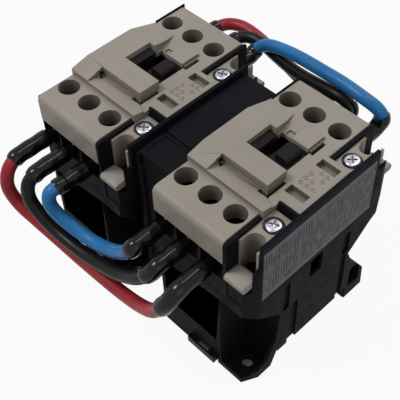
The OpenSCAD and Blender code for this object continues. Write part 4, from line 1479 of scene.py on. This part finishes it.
    def sleeve_shell(self, body: Shell, from_start: bool) -> None:
        """Adds one sleeve, a tube with a wall, to a bmesh.

        Args:
            body: the bmesh to add to.
            from_start: True for the sleeve at the route's first end.
        """
        outer, inner, across = [], [], None
        for centre, heading, radius in self.sleeve_rings(from_start):
            if across is None:
                across = heading.cross(Vector((0, 0, 1)))
                if across.length < 0.25:
                    across = heading.cross(Vector((1, 0, 0)))
            else:
                across = across - heading * across.dot(heading)
            across.normalize()
            up = across.cross(heading).normalized()
            bore = max(min(self.radius + self.sleeve_room, radius - self.sleeve_wall), 1.0 * MM)
            for loop, size in ((outer, radius), (inner, bore)):
                loop.append([body.verts.new(centre + size * (c * across + s * up))
                             for c, s in circle(self.sides)])
        for k in range(self.sides):
            after = (k + 1) % self.sides
            for i in range(len(outer) - 1):
                body.faces.new((outer[i][k], outer[i][after], outer[i + 1][after], outer[i + 1][k]))
                body.faces.new((inner[i][after], inner[i][k], inner[i + 1][k], inner[i + 1][after]))
            body.faces.new((outer[0][after], outer[0][k], inner[0][k], inner[0][after]))
            body.faces.new((outer[-1][k], outer[-1][after], inner[-1][after], inner[-1][k]))


ROUTES: tuple[tuple[str, End, Insulation, Span, list[Point]], ...] = (
    ("near_wire_1", End.LOAD, Palette.red, (17 * MM, 25 * MM), [
        (-50, -48, 60), (-50, -53, 59.5), (-49.7, -57.4, 56), (-49.3, -59.2, 49), (-46, -58.3, 41.5),
        (-39, -56.6, 36.5), (-28.5, -55.4, 33.6), (-14.5, -55, 33), (-1.5, -55, 34), (9.5, -55, 35.4),
        (19.5, -55.6, 39.5), (28, -56.2, 46), (33.5, -54.8, 54.5), (34.9, -51.2, 59), (35, -48, 60)]),
    ("near_wire_2", End.LOAD, Palette.dark, (17 * MM, 19 * MM), [
        (-38.5, -48, 60), (-38.5, -52.4, 59.6), (-38.8, -56.2, 56.4), (-37.9, -57.4, 50),
        (-33, -56.8, 43.8), (-23.5, -56, 40.0), (-11.5, -55.2, 39.6), (-1.5, -54.6, 41.4),
        (8.5, -54, 45.2), (17, -53.2, 51), (22.1, -51.4, 57), (23.4, -49.8, 59.6), (23.5, -48, 60)]),
    ("near_wire_3", End.LOAD, Palette.blue, (15 * MM, 15 * MM), [
        (-27, -48, 60), (-27, -51.6, 60.6), (-27.4, -54.6, 59.4), (-26.9, -55.6, 55), (-23.9, -54.6, 50),
        (-17.5, -52.8, 46), (-9.1, -51.2, 44.6), (-0.5, -50.6, 47.6), (5.9, -50.4, 52.2),
        (10.3, -50.2, 57), (11.9, -49.4, 59.6), (12, -48, 60)]),
    ("far_wire_1", End.LINE, Palette.red, (15 * MM, 15 * MM), [
        (-50, 48, 60), (-49.8, 52.4, 60), (-47.7, 56.6, 60.2), (-42.5, 59.0, 60.4), (-35.5, 59.5, 59.8),
        (-27.5, 59.4, 58.0), (-17.5, 58.2, 56.2), (-7.5, 56.2, 55.4), (0.5, 54.4, 55.6),
        (7.1, 52.4, 57.2), (10.9, 50.4, 59.2), (11.9, 49.2, 60), (12, 48, 60)]),
    ("far_wire_2", End.LINE, Palette.dark, (15 * MM, 16 * MM), [
        (-38.5, 48, 60), (-38.1, 51, 60.6), (-36.3, 53.8, 61.4), (-32.5, 55.6, 61.6),
        (-26.5, 55.8, 61.4), (-18.5, 54.6, 61.0), (-9.5, 53, 61.2), (-0.5, 51.8, 62.4),
        (8.5, 50.8, 64.2), (16.1, 50.4, 65.2), (21.1, 50.8, 64), (23.2, 50.2, 61.6), (23.5, 48, 60)]),
    ("far_wire_3", End.LINE, Palette.blue, (15 * MM, 19 * MM), [
        (-27, 48, 60), (-26.7, 50.4, 61.6), (-25.1, 52.2, 63.8), (-21.1, 53.2, 66.0), (-14.5, 53.6, 67.4),
        (-5.5, 53.2, 69.0), (6.5, 52.4, 70.2), (17.5, 51.8, 70.9), (27.5, 51.4, 70.4),
        (33.5, 52.2, 68.4), (35.9, 52.8, 65), (35.5, 51, 61.4), (35, 48, 60)]),
)


@dataclass
class Wiring:
    """The six link wires, their twelve sleeves and the ferrules, with the routes in millimetres."""

    routes: tuple[tuple[str, End, Insulation, Span, list[Point]], ...] = ROUTES

    def build(self, palette: Palette) -> list[Piece]:
        """Builds every wire and sleeve and finishes the ferrules.

        Args:
            palette: the finishes.

        Returns:
            The pieces.
        """
        tree, made, sleeves = LinkWire.tube_tree(), [], bmesh.new()
        for route in self.routes:
            wire = LinkWire(*route)
            made.append(wire.build(palette, tree))
            for from_start in (True, False):
                wire.sleeve_shell(sleeves, from_start)
        group = smooth(from_bmesh("shrink_sleeve_group", sleeves), 50)
        made.append(palette.fit(group, Palette.sleeve, FRAME_BODY, "shrink_sleeves"))
        palette.paint(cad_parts["wire_ferrules"], Palette.tin)
        return made


@dataclass
class Studio:
    """A pale floor, soft lamps and the camera at the photograph's angle."""

    focal_px: float = 861.7
    image_px: float = 400.0
    sensor: float = 36.0
    centre_px: Span = (215.0, 185.0)
    place: Point = (0.15732, -0.14934, 0.29126)
    axes: tuple[Point, Point, Point] = ((0.70370, 0.71028, -0.01737), (0.52864, -0.53977, -0.65513),
                                        (-0.47470, 0.45183, -0.75532))
    clip: Span = (0.01, 20.0)
    aim: Point = (0.0, 0.0, 0.04)
    floor_half: float = 12.0
    floor_z: float = -0.2 * MM
    floor_colour: Colour = (0.42, 0.42, 0.43)
    white_share: float = 0.93
    surround: float = 0.36
    holes: tuple[Point, ...] = ((0.047, -0.03, 0.0), (-0.015, -0.03, 0.0), (0.015, 0.03, 0.0),
                                (-0.047, 0.03, 0.0))
    hole_reach: float = 3.4 * MM
    lamps: tuple[tuple[str, Point, float, float, float], ...] = (
        ("key", (-0.45, -0.5, 1.1), 0.4, 0.4, 9.5),
        ("fill", (0.95, -0.4, 0.6), 0.7, 0.7, 1.4),
        ("back", (-0.1, 0.9, 0.8), 0.5, 0.5, 1.4),
        ("streak", (0.05, 0.42, 0.95), 0.035, 0.75, 2.6))

    def camera(self) -> None:
        """Sets up the camera, with the small shift that the framing needs."""
        data = bpy.data.cameras.new("camera")
        data.sensor_width = self.sensor
        data.lens = self.focal_px * self.sensor / self.image_px
        data.shift_x = -(self.centre_px[0] - self.image_px / 2) / self.image_px
        data.shift_y = (self.centre_px[1] - self.image_px / 2) / self.image_px
        data.clip_start, data.clip_end = self.clip
        camera = bpy.data.objects.new("camera", data)
        bpy.context.scene.collection.objects.link(camera)
        right, down, ahead = (Vector(axis) for axis in self.axes)
        turn = Matrix((right, -down, -ahead)).transposed()
        camera.matrix_world = Matrix.Translation(Vector(self.place)) @ turn.to_4x4()
        bpy.context.scene.camera = camera

    def floor(self) -> None:
        """Lays the floor: pale to the eye, grey to the light, and dark right under the bolt holes."""
        body = bmesh.new()
        bmesh.ops.create_grid(body, x_segments=2, y_segments=2, size=self.floor_half)
        bmesh.ops.translate(body, vec=(0, 0, self.floor_z), verts=body.verts)
        floor = new_piece("floor", write(body, bpy.data.meshes.new("floor")))
        material = bpy.data.materials.new("pale_floor")
        material.use_nodes = True
        graph = Graph(material.node_tree)
        plain = graph.add("ShaderNodeBsdfDiffuse", {"Color": (*self.floor_colour, 1.0)})
        white = graph.add("ShaderNodeEmission", {"Color": WHITE, "Strength": 1.0})
        place = graph.add("ShaderNodeTexCoord").outputs["Object"]
        seen = graph.seen()
        for hole in self.holes:
            away = graph.add("ShaderNodeVectorMath", {0: place, 1: hole}, operation="DISTANCE")
            outside = graph.maths("GREATER_THAN", away.outputs["Value"], self.hole_reach)
            seen = graph.maths("MULTIPLY", seen, outside)
        share = graph.maths("MULTIPLY", seen, self.white_share)
        graph.add("ShaderNodeOutputMaterial", {0: graph.blend(share, plain, white)})
        floor.data.materials.append(material)

    def world(self) -> None:
        """Sets an even pale surround, as white as the floor to the eye."""
        world = bpy.data.worlds.new("surround")
        bpy.context.scene.world = world
        world.use_nodes = True
        graph = Graph(world.node_tree)
        soft, white = (graph.add("ShaderNodeBackground", {"Color": WHITE, "Strength": strength})
                       for strength in (self.surround,
                                        self.white_share + (1 - self.white_share) * self.surround))
        graph.add("ShaderNodeOutputWorld", {0: graph.blend(graph.seen(), soft, white)})

    def lamp(self, name: str, place: Point, width: float, length: float, watts: float) -> None:
        """Hangs one area lamp that faces the starter.

        Args:
            name: its name.
            place: where it hangs.
            width: its first side.
            length: its second side.
            watts: its power.
        """
        data = bpy.data.lights.new(name, "AREA")
        data.shape = "SQUARE" if width == length else "RECTANGLE"
        data.size = width
        data.size_y = length
        data.energy = watts
        lamp = bpy.data.objects.new(name, data)
        bpy.context.scene.collection.objects.link(lamp)
        lamp.location = place
        lamp.rotation_euler = (Vector(self.aim) - Vector(place)).to_track_quat("-Z", "Y").to_euler()

    def build(self) -> None:
        """Sets camera, floor, surround and lamps."""
        self.camera()
        self.floor()
        self.world()
        for lamp in self.lamps:
            self.lamp(*lamp)


def report(*pieces: Piece) -> None:
    """Logs the name and face count of each piece."""
    for piece in pieces:
        LOG.info("%s: %d faces", piece.name, len(piece.data.polygons))


def main() -> None:
    """Builds every sub-assembly in order and reports each one."""
    logging.basicConfig(level=logging.INFO, format="%(name)s: %(message)s")
    bpy.context.scene.view_settings.view_transform = "Standard"
    Studio().build()
    palette = Palette()
    for side in Side:
        report(*Mouldings(side).build(palette))
        report(AuxShroud(side).build(palette))
        LOG.info("%s: %d inner nodes finished", side.value, InnerParts(side).dress(palette))
        report(ScrewSet(side).build(palette))
    report(*Interlock().build(palette))
    report(*Wiring().build(palette))
    for node, finish in (("rating_plate", Palette.plate), ("interlock_screws", Palette.zinc),
                         ("interlock_pin", Palette.zinc)):
        palette.paint(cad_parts[node], finish)
        LOG.info("%s: finished", node)


if __name__ == "__main__":
    main()
